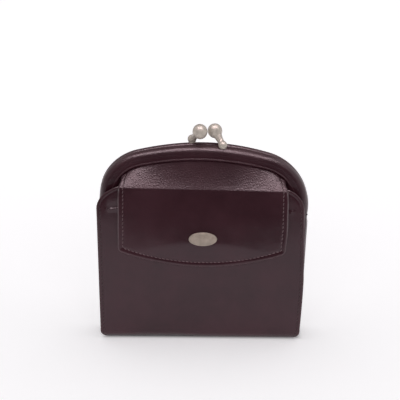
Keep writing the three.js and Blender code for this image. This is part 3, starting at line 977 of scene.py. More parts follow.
def leather_finish(name, colour, worn, gloss, grain, wear=1.0):
    """Smooth calf leather: fine cells that open where it is bent, a soft unevenness, mottled colour
    and rubbed edges, whose colour also paints a highlight along the front bow's lip bead. gloss is its
    lowest and highest roughness."""
    material, tree, shader, place = new_finish(name)
    mottle = noise(tree, place, scale=55.0, detail=4.0)
    speckle = noise(tree, place, scale=900.0, detail=3.0)
    waves = noise(tree, place, scale=70.0, detail=2.0)
    fine = noise(tree, place, scale=3200.0, detail=2.0)
    cells = add_node(
        tree,
        "ShaderNodeTexVoronoi",
        {"Vector": place, "Scale": 850.0, "Randomness": 1.0},
        feature="DISTANCE_TO_EDGE",
    )
    patch = share_of(tree, mottle, *PATCHES)
    deep = mix_colour(tree, patch, opaque(colour, 0.85), opaque(colour, 1.15))
    # Wear colour near the edges; on the front bow's lip bead it is a painted highlight as well as wear
    near_edge_and_lip_bead = share_of(tree, attribute(tree, "edge"), 0.0, 0.9, 0.8 * wear, 0.0)
    patchy = share_of(tree, speckle, 0.35, 0.6, 0.4, 1.0)
    rubbed = calculate(tree, "MULTIPLY", near_edge_and_lip_bead, patchy)
    bent = attribute(tree, "crackle")
    dulled = calculate(tree, "MULTIPLY", bent, 0.42)
    polished = share_of(tree, mottle, *CLOUDS, *gloss)
    cell = share_of(tree, cells.outputs["Distance"], 0.0, 0.34)
    relief = calculate(tree, "ADD", cell, calculate(tree, "MULTIPLY", fine, 0.3))
    soft = bump(tree, waves, 0.35, 0.0006)
    opened = share_of(tree, bent, 0.0, 1.0, grain, 1.0)
    feed(tree, shader, {
        "Base Color": mix_colour(tree, rubbed, deep, opaque(worn)),
        "Roughness": calculate(tree, "ADD", polished, dulled),
        "Normal": bump(tree, relief, opened, 0.00013, Normal=soft),
        "IOR": 1.475,
        "Specular Tint": (1.0, 0.93, 0.97, 1.0),
    })
    return material


def mottled_finish(name, colour, dark, light, patches, gloss, grit, relief, metallic=0.0):
    """A finish with soft patches from a dark to a light factor of its colour. patches and grit are a
    scale and a detail, gloss the lowest and highest roughness, relief a strength and a distance."""
    material, tree, shader, place = new_finish(name)
    cloud = noise(tree, place, *patches)
    height = cloud if grit == patches else noise(tree, place, *grit)
    shade = share_of(tree, cloud, *PATCHES)
    feed(tree, shader, {
        "Base Color": mix_colour(tree, shade, opaque(colour, dark), opaque(colour, light)),
        "Roughness": share_of(tree, cloud, *CLOUDS, *gloss),
        "Normal": bump(tree, height, *relief),
        "Metallic": metallic,
    })
    return material


def thread_finish(name, colour):
    """Waxed sewing thread with a fine twist."""
    twist = (4500.0, 1.0)
    return mottled_finish(name, colour, 0.7, 1.3, twist, (0.45, 0.62), twist, (0.6, 0.00005))


def nickel_finish(name, colour):
    """Satin nickel with a slightly worn skin."""
    cloud = (420.0, 4.0)
    grit = (5200.0, 2.0)
    return mottled_finish(name, colour, 0.86, 1.1, cloud, (0.40, 0.44), grit, (0.18, 0.00002), 0.18)


def floor_finish(colour, glow):
    """A matt white table that glows softly from below, with painted shade that weakens the glow in front
    of and round the purse, more glow at the back, and a painted shadow where the glow is left out under
    the purse."""
    material, tree, shader, place = new_finish("floor_paper")
    fibre = noise(tree, place, scale=60.0, detail=2.0)
    shade = share_of(tree, fibre, *CLOUDS)
    parts = add_node(tree, "ShaderNodeSeparateXYZ", {"Vector": place})
    # Painted shadow under the purse: no glow there, fading in over a narrow edge
    beyond = []
    painted_shadow = {"X": BASE_HALF_WIDTH - PAINTED_SHADOW_SIDE_INSET, "Y": BASE_HALF_DEPTH - PAINTED_SHADOW_FRONT_INSET}
    for axis, half in painted_shadow.items():
        away = calculate(tree, "ABSOLUTE", parts.outputs[axis], 0.0)
        edge = half * TO_METRES
        beyond.append(share_of(tree, away, edge, edge + PAINTED_SHADOW_EDGE))
    outside_painted_shadow = calculate(tree, "MAXIMUM", *beyond)
    # Painted shade: the glow is weaker in front of and round the purse and full further back
    painted_shade_glow = FLOOR_PAINTED_SHADE_SHARE * glow
    glow_with_painted_shade = share_of(tree, parts.outputs["Y"], 0.0, FLOOR_PAINTED_SHADE_DEPTH, painted_shade_glow, glow)
    feed(tree, shader, {
        "Base Color": mix_colour(tree, shade, opaque(colour, 0.995), opaque(colour)),
        "Roughness": 0.9,
        "Specular IOR Level": 0.1,
        "Emission Color": (1.0, 0.985, 1.0, 1.0),
        "Emission Strength": calculate(tree, "MULTIPLY", outside_painted_shadow, glow_with_painted_shade),
    })
    return material


def shared_finish(name):
    """A finish that several pieces share, made the first time it is asked for."""
    found = bpy.data.materials.get(name)
    if found:
        return found
    colours = bpy.context.scene.purse_colours
    finishes = {
        "outer_leather": (leather_finish, colours.leather, colours.worn, (0.16, 0.23), 0.07),
        "lining_leather": (leather_finish, colours.inner, colours.worn, (0.46, 0.58), 0.6, 0.5),
        "flap_thread": (thread_finish, colours.flap_thread),
        "leaf_thread": (thread_finish, colours.leaf_thread),
        "satin_nickel": (nickel_finish, colours.nickel),
        "plate_nickel": (nickel_finish, colours.plate),
    }
    make, *values = finishes[name]
    return make(name, *values)


# Pieces


class PURSE_OT_cover(bpy.types.Operator):
    """Makes the cover: leaf, folded bottom and back panel rolled round the back bow"""

    bl_idname = "purse.cover"
    bl_label = "Cover"

    def execute(self, context):
        leather = context.scene.purse_leather
        lines = roll_lines()
        last = lines[-1].flat
        relief = seam_relief(mm(leather.seam_inset))
        stations = leaf_stations(0.0, leaf_front, last)
        stations += underside_stations(
            back_half_width, -BASE_HALF_DEPTH, BASE_HALF_DEPTH, FOLD_RADIUS, 0.0, leaf_lean
        )
        for z in steps(FOLD_RADIUS, SPRING, WALL_ROWS)[:-1]:
            stations.append(side_station(back_half_width(z), z, back_face, -1.0))
        stations += arch_stations(back_face, -1.0, last)
        rows = [station.row(lines, COVER_COLUMNS, relief) for station in stations]
        rows = [[lifted_base(spot) for spot in row] for row in rows]

        def in_slit(row, a, b):
            beside = min(a.edge, b.edge) >= SLIT_END - SLACK
            return row == LEAF_SLIT_ROW and beside and b.x < SLIT_RIGHT

        sheet = sheet_object("cover_leather", rows, -1, in_slit)
        give_thickness(sheet, leather.cover, leather.rim_round)
        finish_piece(sheet, shared_finish("outer_leather"), "leather", "cover", "back_bow")
        return {"FINISHED"}


def lifted_base(spot):
    """Moves a spot of the bottom up where it stands off the floor."""
    share = 1 - clamp(spot.z / FOLD_RADIUS)
    return spot._replace(z=spot.z + base_lift(spot.x) * share)


def leaf_front(x, z):
    """The leaf's face, with the lips of its pocket slit, which closes under the flap's right side."""
    to_end = LEAF_HALF_WIDTH - SLIT_END + SLIT_END_FADE / 2 - abs(x - leaf_lean(z))
    inside = ease(to_end / SLIT_END_FADE)
    to_right = (x - SLIT_RIGHT + SLIT_RIGHT_FADE) / SLIT_RIGHT_FADE
    inside *= blend(1.0, SLIT_RIGHT_SHARE, ease(to_right))
    below = SLIT_BOTTOM - z
    if below >= -SLACK:
        rim = SLIT_RIM_DROP * (1 - clamp(below / SLIT_RIM))
        lip = SLIT_LIP * bell(below, SLIT_LIP_HEIGHT) - rim
    else:
        lip = -SLIT_LIP * bell(below + SLIT_SINK_START, SLIT_SINK_HEIGHT)
    return leaf_depth(x, z) - lip * inside


class PURSE_OT_leaf_lining(bpy.types.Operator):
    """Makes the leaf's inner leather, behind its outer leather"""

    bl_idname = "purse.leaf_lining"
    bl_label = "Leaf lining"

    def execute(self, context):
        leather = context.scene.purse_leather
        lines = plain_lines()
        behind = mm(leather.cover) + GAP

        def face(x, z):
            return leaf_depth(x, z) + behind

        stations = leaf_stations(LINING_INSET, face, lines[-1].flat)
        rows = [station.row(lines, LINING_COLUMNS, no_relief) for station in stations]
        sheet = sheet_object("leaf_lining_leather", rows, -1)
        give_thickness(sheet, leather.lining, leather.rim_round)
        finish_piece(sheet, shared_finish("lining_leather"), "inner_leather", "leaf_lining")
        return {"FINISHED"}


class PURSE_OT_coin_front(bpy.types.Operator):
    """Makes the coin purse's front wall and bottom, rolled round the front bow"""

    bl_idname = "purse.coin_front"
    bl_label = "Coin purse front"

    def execute(self, context):
        leather = context.scene.purse_leather
        lines = roll_lines()
        inside = mm(leather.cover) + GAP

        def face(x, z):
            return coin_face(x, z, leather)

        def hem_face(x, z):
            return back_depth(x, z) - inside

        foot = coin_depth(0.0, FOLD_RADIUS, leather)
        heights = steps(FOLD_RADIUS, SPRING, WALL_ROWS)[:-1]
        front = [side_station(coin_half_width(z), z, face, 1.0) for z in heights]
        front += arch_stations(face, 1.0, lines[-1].flat)
        under = underside_stations(
            coin_half_width, foot, BASE_HALF_DEPTH - inside, FOLD_RADIUS - inside, inside
        )
        heights = steps(FOLD_RADIUS, HEM_HEIGHT, HEM_ROWS)
        hem = [side_station(coin_half_width(z), z, hem_face, 0.0) for z in heights]
        stations = hem[::-1] + under[::-1] + front
        rows = [station.row(lines, COIN_COLUMNS, no_relief) for station in stations]
        sheet = sheet_object("coin_purse_front", rows, 1)
        give_thickness(sheet, leather.wall, leather.rim_round)
        finish_piece(sheet, shared_finish("outer_leather"), "leather", "coin_wall", "front_bow")
        return {"FINISHED"}


def wave(z, side, size, turn, shift):
    """A slow wave up a gusset, shifted from one side to the other."""
    return size * math.sin(z * turn + shift * side)


def gusset_row(side, z, leather):
    """One row across a gusset, from the front wall in to the fold and out to the back panel."""
    edge = back_half_width(z) - COIN_SIDE_INSET - GAP
    front = coin_depth(edge, z, leather) + mm(leather.wall) + GUSSET_CLEARANCE
    hem = mm(leather.wall) * (1 - ease((z - HEM_HEIGHT) / GUSSET_HEM_FADE))
    back = back_depth(edge, z) - mm(leather.cover) - GAP - GUSSET_CLEARANCE - hem
    middle = (front + back) / 2 + sum(wave(z, side, *values) for values in GUSSET_WAVES)
    fold = GUSSET_FOLD + wave(z, side, *GUSSET_FOLD_WAVE)
    row = []
    for share in steps(-1, 1, GUSSET_COLUMNS):
        angle = QUARTER * (1 - abs(share))
        inset = fold * math.sin(angle) ** GUSSET_ROUNDING
        towards = (1 - math.cos(angle)) ** GUSSET_PLEAT
        y = blend(front if share < 0 else back, middle, towards)
        row.append(Spot(side * (edge - inset), y, z, 0.0, UNWORN))
    return row


class PURSE_OT_gussets(bpy.types.Operator):
    """Makes the two side strips, folded inwards between the front wall and the back panel"""

    bl_idname = "purse.gussets"
    bl_label = "Gussets"

    def execute(self, context):
        leather = context.scene.purse_leather
        bottom = mm(leather.cover + leather.wall) + GAP + GUSSET_BOTTOM_GAP
        for side, name in ((-1, "left"), (1, "right")):
            rows = [gusset_row(side, z, leather) for z in steps(bottom, GUSSET_TOP, GUSSET_ROWS)]
            sheet = sheet_object(f"gusset_{name}_leather", rows, -side)
            give_thickness(sheet, leather.gusset, 0.0)
            finish_piece(sheet, shared_finish("lining_leather"), "inner_leather", f"gusset_{name}")
        return {"FINISHED"}


# Flap


def flap_lift(x, z):
    """How far the flap stands off, more where it is snapped down, so that its face breaks there."""
    middle = FLAP_BREAK_HEIGHT - FLAP_BREAK_BOW * (x / FLAP_HALF_WIDTH) ** 2
    if z > middle:
        share = 1 - clamp((z - middle) / (FLAP_KNEE_HEIGHT - middle))
        rise = share ** FLAP_RISE_POWER
    else:
        share = clamp((middle - z) / (middle - FLAP_TIP))
        rise = blend(1.0, FLAP_TIP_LIFT / FLAP_BREAK_LIFT, share ** FLAP_DROP_POWER)
    return FLAP_BREAK_LIFT * rise * blend(1.0, FLAP_SIDE_LIFT, (x / FLAP_HALF_WIDTH) ** 2)


def flap_front(x, z, leather):
    """Outer face of the flap where it hangs over the leaf, its break softened."""
    far = FLAP_BREAK_SPREAD
    near = far / 2
    heights = (z - far, z - near, z, z + near, z + far)
    lift = sum(flap_lift(x, height) for height in heights) / len(heights)
    return leaf_depth(x, z) - FLAP_STANDOFF - mm(leather.flap) - lift


def flap_bottom(x, up):
    """Height of the flap's bottom edge, or of a line that runs up beside it."""
    return FLAP_BOTTOM_CENTRE - math.sqrt((FLAP_BOTTOM_RADIUS - up) ** 2 - x ** 2)


def rounded_corner(beside, above):
    """Turns distances from the side and from the bottom edge so that their corner is round."""
    reach = FLAP_CORNER_ROUND
    if beside >= reach or above >= reach:
        return beside, above
    ring = min(beside, above)
    radius = reach - ring
    if radius <= 0:
        return beside, above
    if beside <= above:
        share = 0.5 * (reach - above) / radius
    else:
        share = 1 - 0.5 * (reach - beside) / radius
    angle = QUARTER * share
    return reach - radius * math.cos(angle), reach - radius * math.sin(angle)


def flap_slope(x, leather):
    """The flap's line from under the front bow's lip to its knee: both ends as depth and height, the
    way it falls at the knee, and the depth of the knee's centre."""
    knee = flap_front(x, FLAP_KNEE_HEIGHT, leather) + FLAP_KNEE_RADIUS
    out = clamp(abs(x) / FLAP_HALF_WIDTH) ** FLAP_FALL_POWER
    side = FLAP_FALL_LEFT if x < 0 else FLAP_FALL_RIGHT
    fall = math.radians(blend(FLAP_FALL_MIDDLE, side, out))
    root = arch_height(x * FLAP_ROOT_TAPER, LIP_START + LIP_ROUND + LIP_FALL)
    start = (FRONT_FACE + FLAP_ROOT_DEPTH, root)
    end = (
        knee - FLAP_KNEE_RADIUS * math.sin(fall),
        FLAP_KNEE_HEIGHT + FLAP_KNEE_RADIUS * math.cos(fall),
    )
    return start, end, fall, knee


def flap_slope_point(x, share, leather):
    """A place on the flap's slope, which leaves the bow steeply and flattens towards the knee."""
    start, end, fall, _ = flap_slope(x, leather)
    length = math.hypot(end[0] - start[0], end[1] - start[1])
    steep = 2 * math.atan2(start[1] - end[1], start[0] - end[0]) - fall
    leave = (-math.cos(steep) * length, -math.sin(steep) * length)
    arrive = (-math.cos(fall) * length, -math.sin(fall) * length)
    weights = (
        2 * share ** 3 - 3 * share ** 2 + 1,
        share ** 3 - 2 * share ** 2 + share,
        -2 * share ** 3 + 3 * share ** 2,
        share ** 3 - share ** 2,
    )
    ends = (start, leave, end, arrive)
    return [sum(weight * place[k] for weight, place in zip(weights, ends)) for k in (0, 1)]


def flap_relief(inset, leather):
    """Turned edge of the flap: a soft bead outside the seam, and the seam drawn in."""
    rounded = -FLAP_RIM_DROP * (1 - clamp(inset / FLAP_RIM_WIDTH)) ** 2
    channel = -FLAP_SEAM_DEPTH * bell(inset - mm(leather.flap_seam_inset), FLAP_SEAM_WIDTH)
    return rounded + channel + FLAP_BEAD_RISE * bell(inset - FLAP_BEAD, FLAP_BEAD_WIDTH)


def side_roll(part, share, beside):
    """How far the flap's sides are bent down where it goes over the leaf's top edge."""
    amount = {
        "tuck": 0.0,
        "slope": ease(share / SIDE_ROLL_START),
        "knee": 1.0,
        "drop": 1 - ease(share * SIDE_ROLL_END),
        "edge": 0.0,
    }[part]
    return -SIDE_ROLL_DEPTH * amount * (1 - clamp(beside / SIDE_ROLL_WIDTH)) ** 2


def flap_row_places(leather):
    """Rows of the flap from its root to its bottom edge, each as (part, share)."""
    places = [("tuck", share) for share in steps(0, 1, 4)[:-1]]
    places += [("slope", share) for share in steps(0, 1, 24)]
    places += [("knee", share) for share in steps(0, 1, 8)[1:]]
    places += [("drop", share) for share in steps(0, 1, 40)[1:]]
    places += [("edge", band) for band in reversed(FLAP_BANDS)]
    return places


def flap_spot(part, share, beside, side, leather):
    """One point of the flap, at a distance beside its left (-1) or right (1) edge."""
    inset = beside
    x = side * (FLAP_HALF_WIDTH - beside)
    if part == "edge":
        inset = min(beside, share)
        turned, above = rounded_corner(beside, share)
        x = side * (FLAP_HALF_WIDTH - turned)
        z = flap_bottom(x, above)
        y = flap_front(x, z, leather)
    elif part == "drop":
        z = blend(FLAP_KNEE_HEIGHT, flap_bottom(x, FLAP_EDGE_BAND), share)
        y = flap_front(x, z, leather)
    elif part == "knee":
        _, _, fall, knee_y = flap_slope(x, leather)
        angle = blend(fall, QUARTER, share)
        y = knee_y - FLAP_KNEE_RADIUS * math.sin(angle)
        z = FLAP_KNEE_HEIGHT + FLAP_KNEE_RADIUS * math.cos(angle)
    elif part == "slope":
        y, z = flap_slope_point(x, share, leather)
        x = x * blend(FLAP_ROOT_TAPER, 1.0, share)
    else:
        (root_y, root_z), _, _, _ = flap_slope(x, leather)
        y = root_y + FLAP_TUCK_DEPTH * (1 - share) ** FLAP_TUCK_POWER
        z = root_z + FLAP_TUCK_RISE * (1 - share)
        x = x * FLAP_ROOT_TAPER
    low = ease((FLAP_DRAW_TOP - z) / FLAP_DRAW_HEIGHT)
    x -= FLAP_RIGHT_DRAW * low * clamp(x / FLAP_HALF_WIDTH) ** 2
    out = clamp(abs(x) / FLAP_HALF_WIDTH) ** FLAP_CRACKLE_POWER
    bent = {"tuck": FLAP_TUCK_CRACKLE, "slope": 1.0, "knee": 1.0 - share}.get(part, 0.0)
    crackle = bent * blend(FLAP_CRACKLE_MIDDLE, FLAP_CRACKLE_SIDE, out)
    lift = flap_relief(inset, leather) + side_roll(part, share, beside)
    return Spot(x, y, z, lift, FLAP_WEAR_SPREAD * inset, crackle)


def flap_columns():
    """Distances beside the flap's edges, fine near the edge and then even to the middle."""
    return [*FLAP_BANDS, *steps(FLAP_EDGE_BAND, FLAP_HALF_WIDTH, FLAP_COLUMNS)]


class PURSE_OT_flap(bpy.types.Operator):
    """Makes the flap, from under the front bow over the leaf's top edge and down its face"""

    bl_idname = "purse.flap"
    bl_label = "Flap"

    def execute(self, context):
        leather = context.scene.purse_leather
        columns = flap_columns()
        rows = []
        for part, share in flap_row_places(leather):
            row = [flap_spot(part, share, beside, -1, leather) for beside in columns]
            row += [flap_spot(part, share, beside, 1, leather) for beside in columns[-2::-1]]
            rows.append(row)
        sheet = sheet_object("flap_leather", rows, -1)
        give_thickness(sheet, leather.flap, leather.rim_round)
        finish_piece(sheet, shared_finish("outer_leather"), "leather", "flap")
        return {"FINISHED"}


# Stitches


def stitch_tree():
    """Geometry nodes that sew along an edge path: one short slanted stitch for each pitch."""
    tree = bpy.data.node_groups.new("sewn_seam", "GeometryNodeTree")
    sockets = {"Path": "Geometry"}
    sockets |= dict.fromkeys(("Pitch", "Stitch Length", "Thread", "Slant", "Unevenness"), "Float")
    sockets |= {"Seed": "Int", "Material": "Material"}
    for name, kind in sockets.items():
        tree.interface.new_socket(name, in_out="INPUT", socket_type=f"NodeSocket{kind}")
    tree.interface.new_socket("Stitches", in_out="OUTPUT", socket_type="NodeSocketGeometry")
    given = tree.nodes.new("NodeGroupInput").outputs
    result = tree.nodes.new("NodeGroupOutput")

    def times(value, factor):
        return calculate(tree, "MULTIPLY", value, factor)

    half = times(given["Stitch Length"], 0.5)
    dip = times(given["Thread"], -0.55)
    start = add_node(tree, "ShaderNodeCombineXYZ", {"X": times(half, -1.0), "Z": dip})
    middle = add_node(tree, "ShaderNodeCombineXYZ", {"Z": times(given["Thread"], 0.85)})
    end = add_node(tree, "ShaderNodeCombineXYZ", {"X": half, "Z": dip})
    inputs = {"Start": start.outputs[0], "Middle": middle.outputs[0], "End": end.outputs[0]}
    line = add_node(tree, "GeometryNodeCurveQuadraticBezier", {"Resolution": 5, **inputs})
    inputs = {"Resolution": 6, "Radius": times(given["Thread"], 0.5)}
    section = add_node(tree, "GeometryNodeCurvePrimitiveCircle", inputs)
    inputs = {"Curve": line.outputs["Curve"], "Profile Curve": section.outputs["Curve"]}
    stitch = add_node(tree, "GeometryNodeCurveToMesh", {**inputs, "Fill Caps": True})

    path = add_node(tree, "GeometryNodeMeshToCurve", {"Mesh": given["Path"]})
    inputs = {"Curve": path.outputs["Curve"], "Length": given["Pitch"]}
    points = add_node(tree, "GeometryNodeResampleCurve", inputs, mode="LENGTH")
    along = add_node(tree, "GeometryNodeInputTangent")
    upright = add_node(
        tree,
        "GeometryNodeInputNamedAttribute",
        {"Name": "upright"},
        data_type="FLOAT_VECTOR",
    )
    aimed = add_node(
        tree,
        "FunctionNodeAlignRotationToVector",
        {"Vector": along.outputs["Tangent"]},
        axis="X",
    )
    seated = add_node(
        tree,
        "FunctionNodeAlignRotationToVector",
        {"Rotation": aimed.outputs["Rotation"], "Vector": upright.outputs["Attribute"]},
        axis="Z",
        pivot_axis="X",
    )
    inputs = {
        2: times(given["Unevenness"], -1.0),
        3: given["Unevenness"],
        "Seed": given["Seed"],
    }
    uneven = add_node(tree, "FunctionNodeRandomValue", inputs, data_type="FLOAT")
    turn = calculate(tree, "ADD", given["Slant"], uneven.outputs[1])
    slant = add_node(tree, "ShaderNodeCombineXYZ", {"Z": turn})
    turned = add_node(tree, "FunctionNodeEulerToRotation", {"Euler": slant.outputs[0]})
    inputs = {"Rotation": seated.outputs["Rotation"], "Rotate By": turned.outputs["Rotation"]}
    rotation = add_node(tree, "FunctionNodeRotateRotation", inputs, rotation_space="LOCAL")
    inputs = {"Points": points.outputs["Curve"], "Instance": stitch.outputs["Mesh"]}
    inputs["Rotation"] = rotation.outputs["Rotation"]
    sewn = add_node(tree, "GeometryNodeInstanceOnPoints", inputs)
    whole = add_node(tree, "GeometryNodeRealizeInstances", {"Geometry": sewn.outputs["Instances"]})
    smooth = add_node(tree, "GeometryNodeSetShadeSmooth", {"Geometry": whole.outputs["Geometry"]})
    inputs = {"Geometry": smooth.outputs["Geometry"], "Material": given["Material"]}
    final = add_node(tree, "GeometryNodeSetMaterial", inputs)
    tree.links.new(final.outputs["Geometry"], result.inputs["Stitches"])
    return tree


def path_object(name, paths):
    """Edge paths, each a list of (point, normal) in millimetres, as one mesh."""
    mesh = bpy.data.meshes.new(name)
    points = []
    normals = []
    edges = []
    for path in paths:
        first = len(points)
        points += [placed(*point) for point, _ in path]
        normals += [normal for _, normal in path]
        edges += [(k, k + 1) for k in range(first, len(points) - 1)]
    mesh.from_pydata(points, edges, [])
    upright = mesh.attributes.new("upright", "FLOAT_VECTOR", "POINT")
    upright.data.foreach_set("vector", [value for normal in normals for value in normal])
    return linked_object(name, mesh)


def sew(name, tree, paths, thread, slant, seed):
    """Sews stitches along paths, and leaves them as a plain mesh."""
    leather = bpy.context.scene.purse_leather
    path = path_object(name, paths)
    seam = path.modifiers.new("seam", "NODES")
    seam.node_group = tree
    values = {
        "Pitch": leather.stitch_pitch,
        "Stitch Length": leather.stitch_length,
        "Thread": leather.thread,
        "Slant": slant,
        "Unevenness": UNEVEN_STITCH,
        "Seed": seed,
        "Material": shared_finish(thread),
    }
    for socket in tree.interface.items_tree:
        if socket.in_out == "INPUT" and socket.name in values:
            seam[socket.identifier] = values[socket.name]
    evaluated = path.evaluated_get(bpy.context.evaluated_depsgraph_get())
    stitches = bpy.data.meshes.new_from_object(evaluated)
    path.modifiers.remove(seam)
    path.data = stitches
    finish_piece(path, shared_finish(thread), "leather")


def seam_path(spots, others, outward):
    """A seam's points, as deep as it is drawn in, each with the surface's normal, which comes from
    the spots of a second line beside it. outward is the way along Y that the surface faces."""
    points = [Vector((spot.x, spot.y, spot.z)) for spot in spots]
    path = []
    for k, (point, spot, other) in enumerate(zip(points, spots, others)):
        along = points[min(k + 1, len(points) - 1)] - points[max(k - 1, 0)]
        normal = along.cross(Vector((other.x, other.y, other.z)) - point).normalized()
        if normal.y * outward < 0:
            normal = -normal
        path.append((point + normal * spot.lift, normal))
    return path


def edge_path(stations, inset, side, relief, outward):
    """A path beside the left (-1) or right (1) edge of a wall."""
    spots, others = (
        [station.beside(Line(place, place, 0.0), side, relief) for station in stations]
        for place in (inset, inset + BESIDE_SEAM)
    )
    return seam_path(spots, others, outward)


def flap_seam(leather):
    """The flap's seam: down the left side, along the bottom and up the right side."""
    seam = mm(leather.flap_seam_inset)
    places = [("slope", share) for share in steps(FLAP_SEAM_START, 1, 20)]
    places += [("knee", share) for share in steps(0, 1, 6)[1:]]
    places += [("drop", share) for share in steps(0, 1, 40)[1:]]
    places += [("edge", band) for band in (5.0, 4.0, 3.2, 2.8, 2.4)]
    bottom = steps(seam, FLAP_HALF_WIDTH, 40)[1:]

    def side_line(side, inset):
        spots = [flap_spot(part, share, inset, side, leather) for part, share in places]
        return spots + [flap_spot("edge", inset, beside, side, leather) for beside in bottom]

    def whole_line(inset):
        return side_line(-1, inset) + side_line(1, inset)[-2::-1]

    return seam_path(whole_line(seam), whole_line(seam + BESIDE_SEAM), -1)


class PURSE_OT_stitches(bpy.types.Operator):
    """Sews the seams of the leaf, the back panel and the flap"""

    bl_idname = "purse.stitches"
    bl_label = "Stitches"

    def execute(self, context):
        leather = context.scene.purse_leather
        inset = mm(leather.seam_inset)
        relief = seam_relief(inset)
        tree = stitch_tree()
        leaf = leaf_stations(0.0, leaf_front, BESIDE_BOW[-1])[LEAF_SLIT_ROW + 2:]
        for angle in fold_angles()[:4]:
            y = -BASE_HALF_DEPTH + FOLD_RADIUS * (1 - math.cos(angle))
            z = FOLD_RADIUS * (1 - math.sin(angle))
            leaf.append(fold_station(back_half_width(z), y, z, leaf_lean))
        heights = steps(BACK_SEAM_FOOT, BACK_SEAM_TOP, BACK_SEAM_ROWS)
        back = [side_station(back_half_width(z), z, back_face, -1.0) for z in heights]
        leaf_paths = [edge_path(leaf, inset, side, relief, -1) for side in (-1, 1)]
        back_paths = [edge_path(back, inset, side, relief, 1) for side in (-1, 1)]
        sew("leaf_stitches", tree, leaf_paths, "leaf_thread", math.radians(-12), 1)
        sew("back_stitches", tree, back_paths, "leaf_thread", math.radians(12), 2)
        sew("flap_stitches", tree, [flap_seam(leather)], "flap_thread", math.radians(-10), 3)
        return {"FINISHED"}


# Metal


def smooth_max(values, softness):
    """The greatest of some values, with the joins between them rounded."""
    top = max(values)
    return top + softness * math.log(sum(math.exp((value - top) / softness) for value in values))


def turned_object(name, parts):
    """Turned solids joined in one object. Each part is (start, axis, profile), where the profile
    lists (distance along the axis, radius) and starts and ends on the axis."""
    shape = bmesh.new()
    for start, axis, profile in parts:
        aim = axis.to_track_quat("Z", "Y")

        def ring(along, radius, count):
            points = []
            for k in range(count):
                angle = 2 * math.pi * k / count
                place = Vector((radius * math.cos(angle), radius * math.sin(angle), along))
                points.append(shape.verts.new(placed(*(start + aim @ place))))
            return points

        rings = [ring(along, radius, TURNS if radius else 1) for along, radius in profile]
        for lower, upper in zip(rings, rings[1:]):
            for k in range(TURNS):
                after = (k + 1) % TURNS
                loop = [lower[k % len(lower)], lower[after % len(lower)]]
                loop += [upper[after % len(upper)], upper[k % len(upper)]]
                shape.faces.new(list(dict.fromkeys(loop)))
    bmesh.ops.recalc_face_normals(shape, faces=shape.faces)
    return shape_object(name, shape)


def knob_profile(ball, neck, foot, length):
    """Radius along a knob: a ball that runs in a teardrop into its stem and foot."""
    profile = [(-ball, 0.0)]
    for angle in steps(0, QUARTER, 12)[1:]:
        profile.append((-ball * math.cos(angle), ball * math.sin(angle)))
    for along in steps(0, length + foot, 54)[1:-1]:
        over_ball = math.sqrt(max(0.0, ball ** 2 - along ** 2))
        over_foot = math.sqrt(max(0.0, foot ** 2 - (along - length) ** 2))
        flare = blend(neck * STEM_FLARE, neck, ease(STEM_FLARE_FALL * along / length))
        stem = flare if along < length else 0.0
        profile.append((along, smooth_max((over_ball, over_foot, stem), STEM_SOFTNESS)))
    last_along, last_radius = profile[-1]
    bend = last_radius / math.sqrt(max(1e-6, foot ** 2 - (last_along - length) ** 2))
    cap = length + FOOT_CAP * foot
    profile = [(along, radius / bend if along > cap else radius) for along, radius in profile]
    return [*profile, (length + foot, 0.0)]


def button_profile(radius, low, high, rounding):
    """A short round collar or peg with rounded rims."""
    bends = [(1 - math.cos(angle), 1 - math.sin(angle)) for angle in steps(0, QUARTER, 4)]
    bottom = [(low + rounding * up, radius - rounding * back) for up, back in bends]
    top = [(high - rounding * down, radius - rounding * back) for back, down in bends]
    return [(low, 0.0), *bottom, *top, (high, 0.0)]


class PURSE_OT_knobs(bpy.types.Operator):
    """Makes the two ball knobs of the clasp, each with its stem, foot, collar and peg"""

    bl_idname = "purse.knobs"
    bl_label = "Ball knobs"

    def execute(self, context):
        metal = context.scene.purse_metal
        foot_radius = mm(metal.foot)
        balls = {"front_knob": (-1, metal.right_ball), "back_knob": (1, metal.left_ball)}
        for name, (side, ball) in balls.items():
            foot_x = KNOB_SHIFT - side * FOOT_SPREAD
            ground = arch_height(foot_x, 0.0)
            foot_z = ground + GAP + foot_radius - FOOT_SINK[name]
            foot = Vector((foot_x, SEAM_MIDDLE + side * BOW_DEPTH / 2, foot_z))
            centre = Vector((
                KNOB_SHIFT - side * BALL_SPREAD,
                SEAM_MIDDLE - side * BALL_CROSSING,
                FRAME_TOP + BALL_HEIGHT[name],
            ))
            reach = foot - centre
            knob = knob_profile(mm(ball), mm(metal.neck), foot_radius, reach.length)
            base = Vector((foot.x, foot.y, ground))
            up = Vector((0, 0, 1))
            parts = [
                (centre, reach.normalized(), knob),
                (base, up, button_profile(*COLLAR)),
                (base, up, button_profile(*PEG)),
            ]
            piece = turned_object(f"{name}_metal", parts)
            finish_piece(piece, shared_finish("satin_nickel"), "nickel", name)
        return {"FINISHED"}


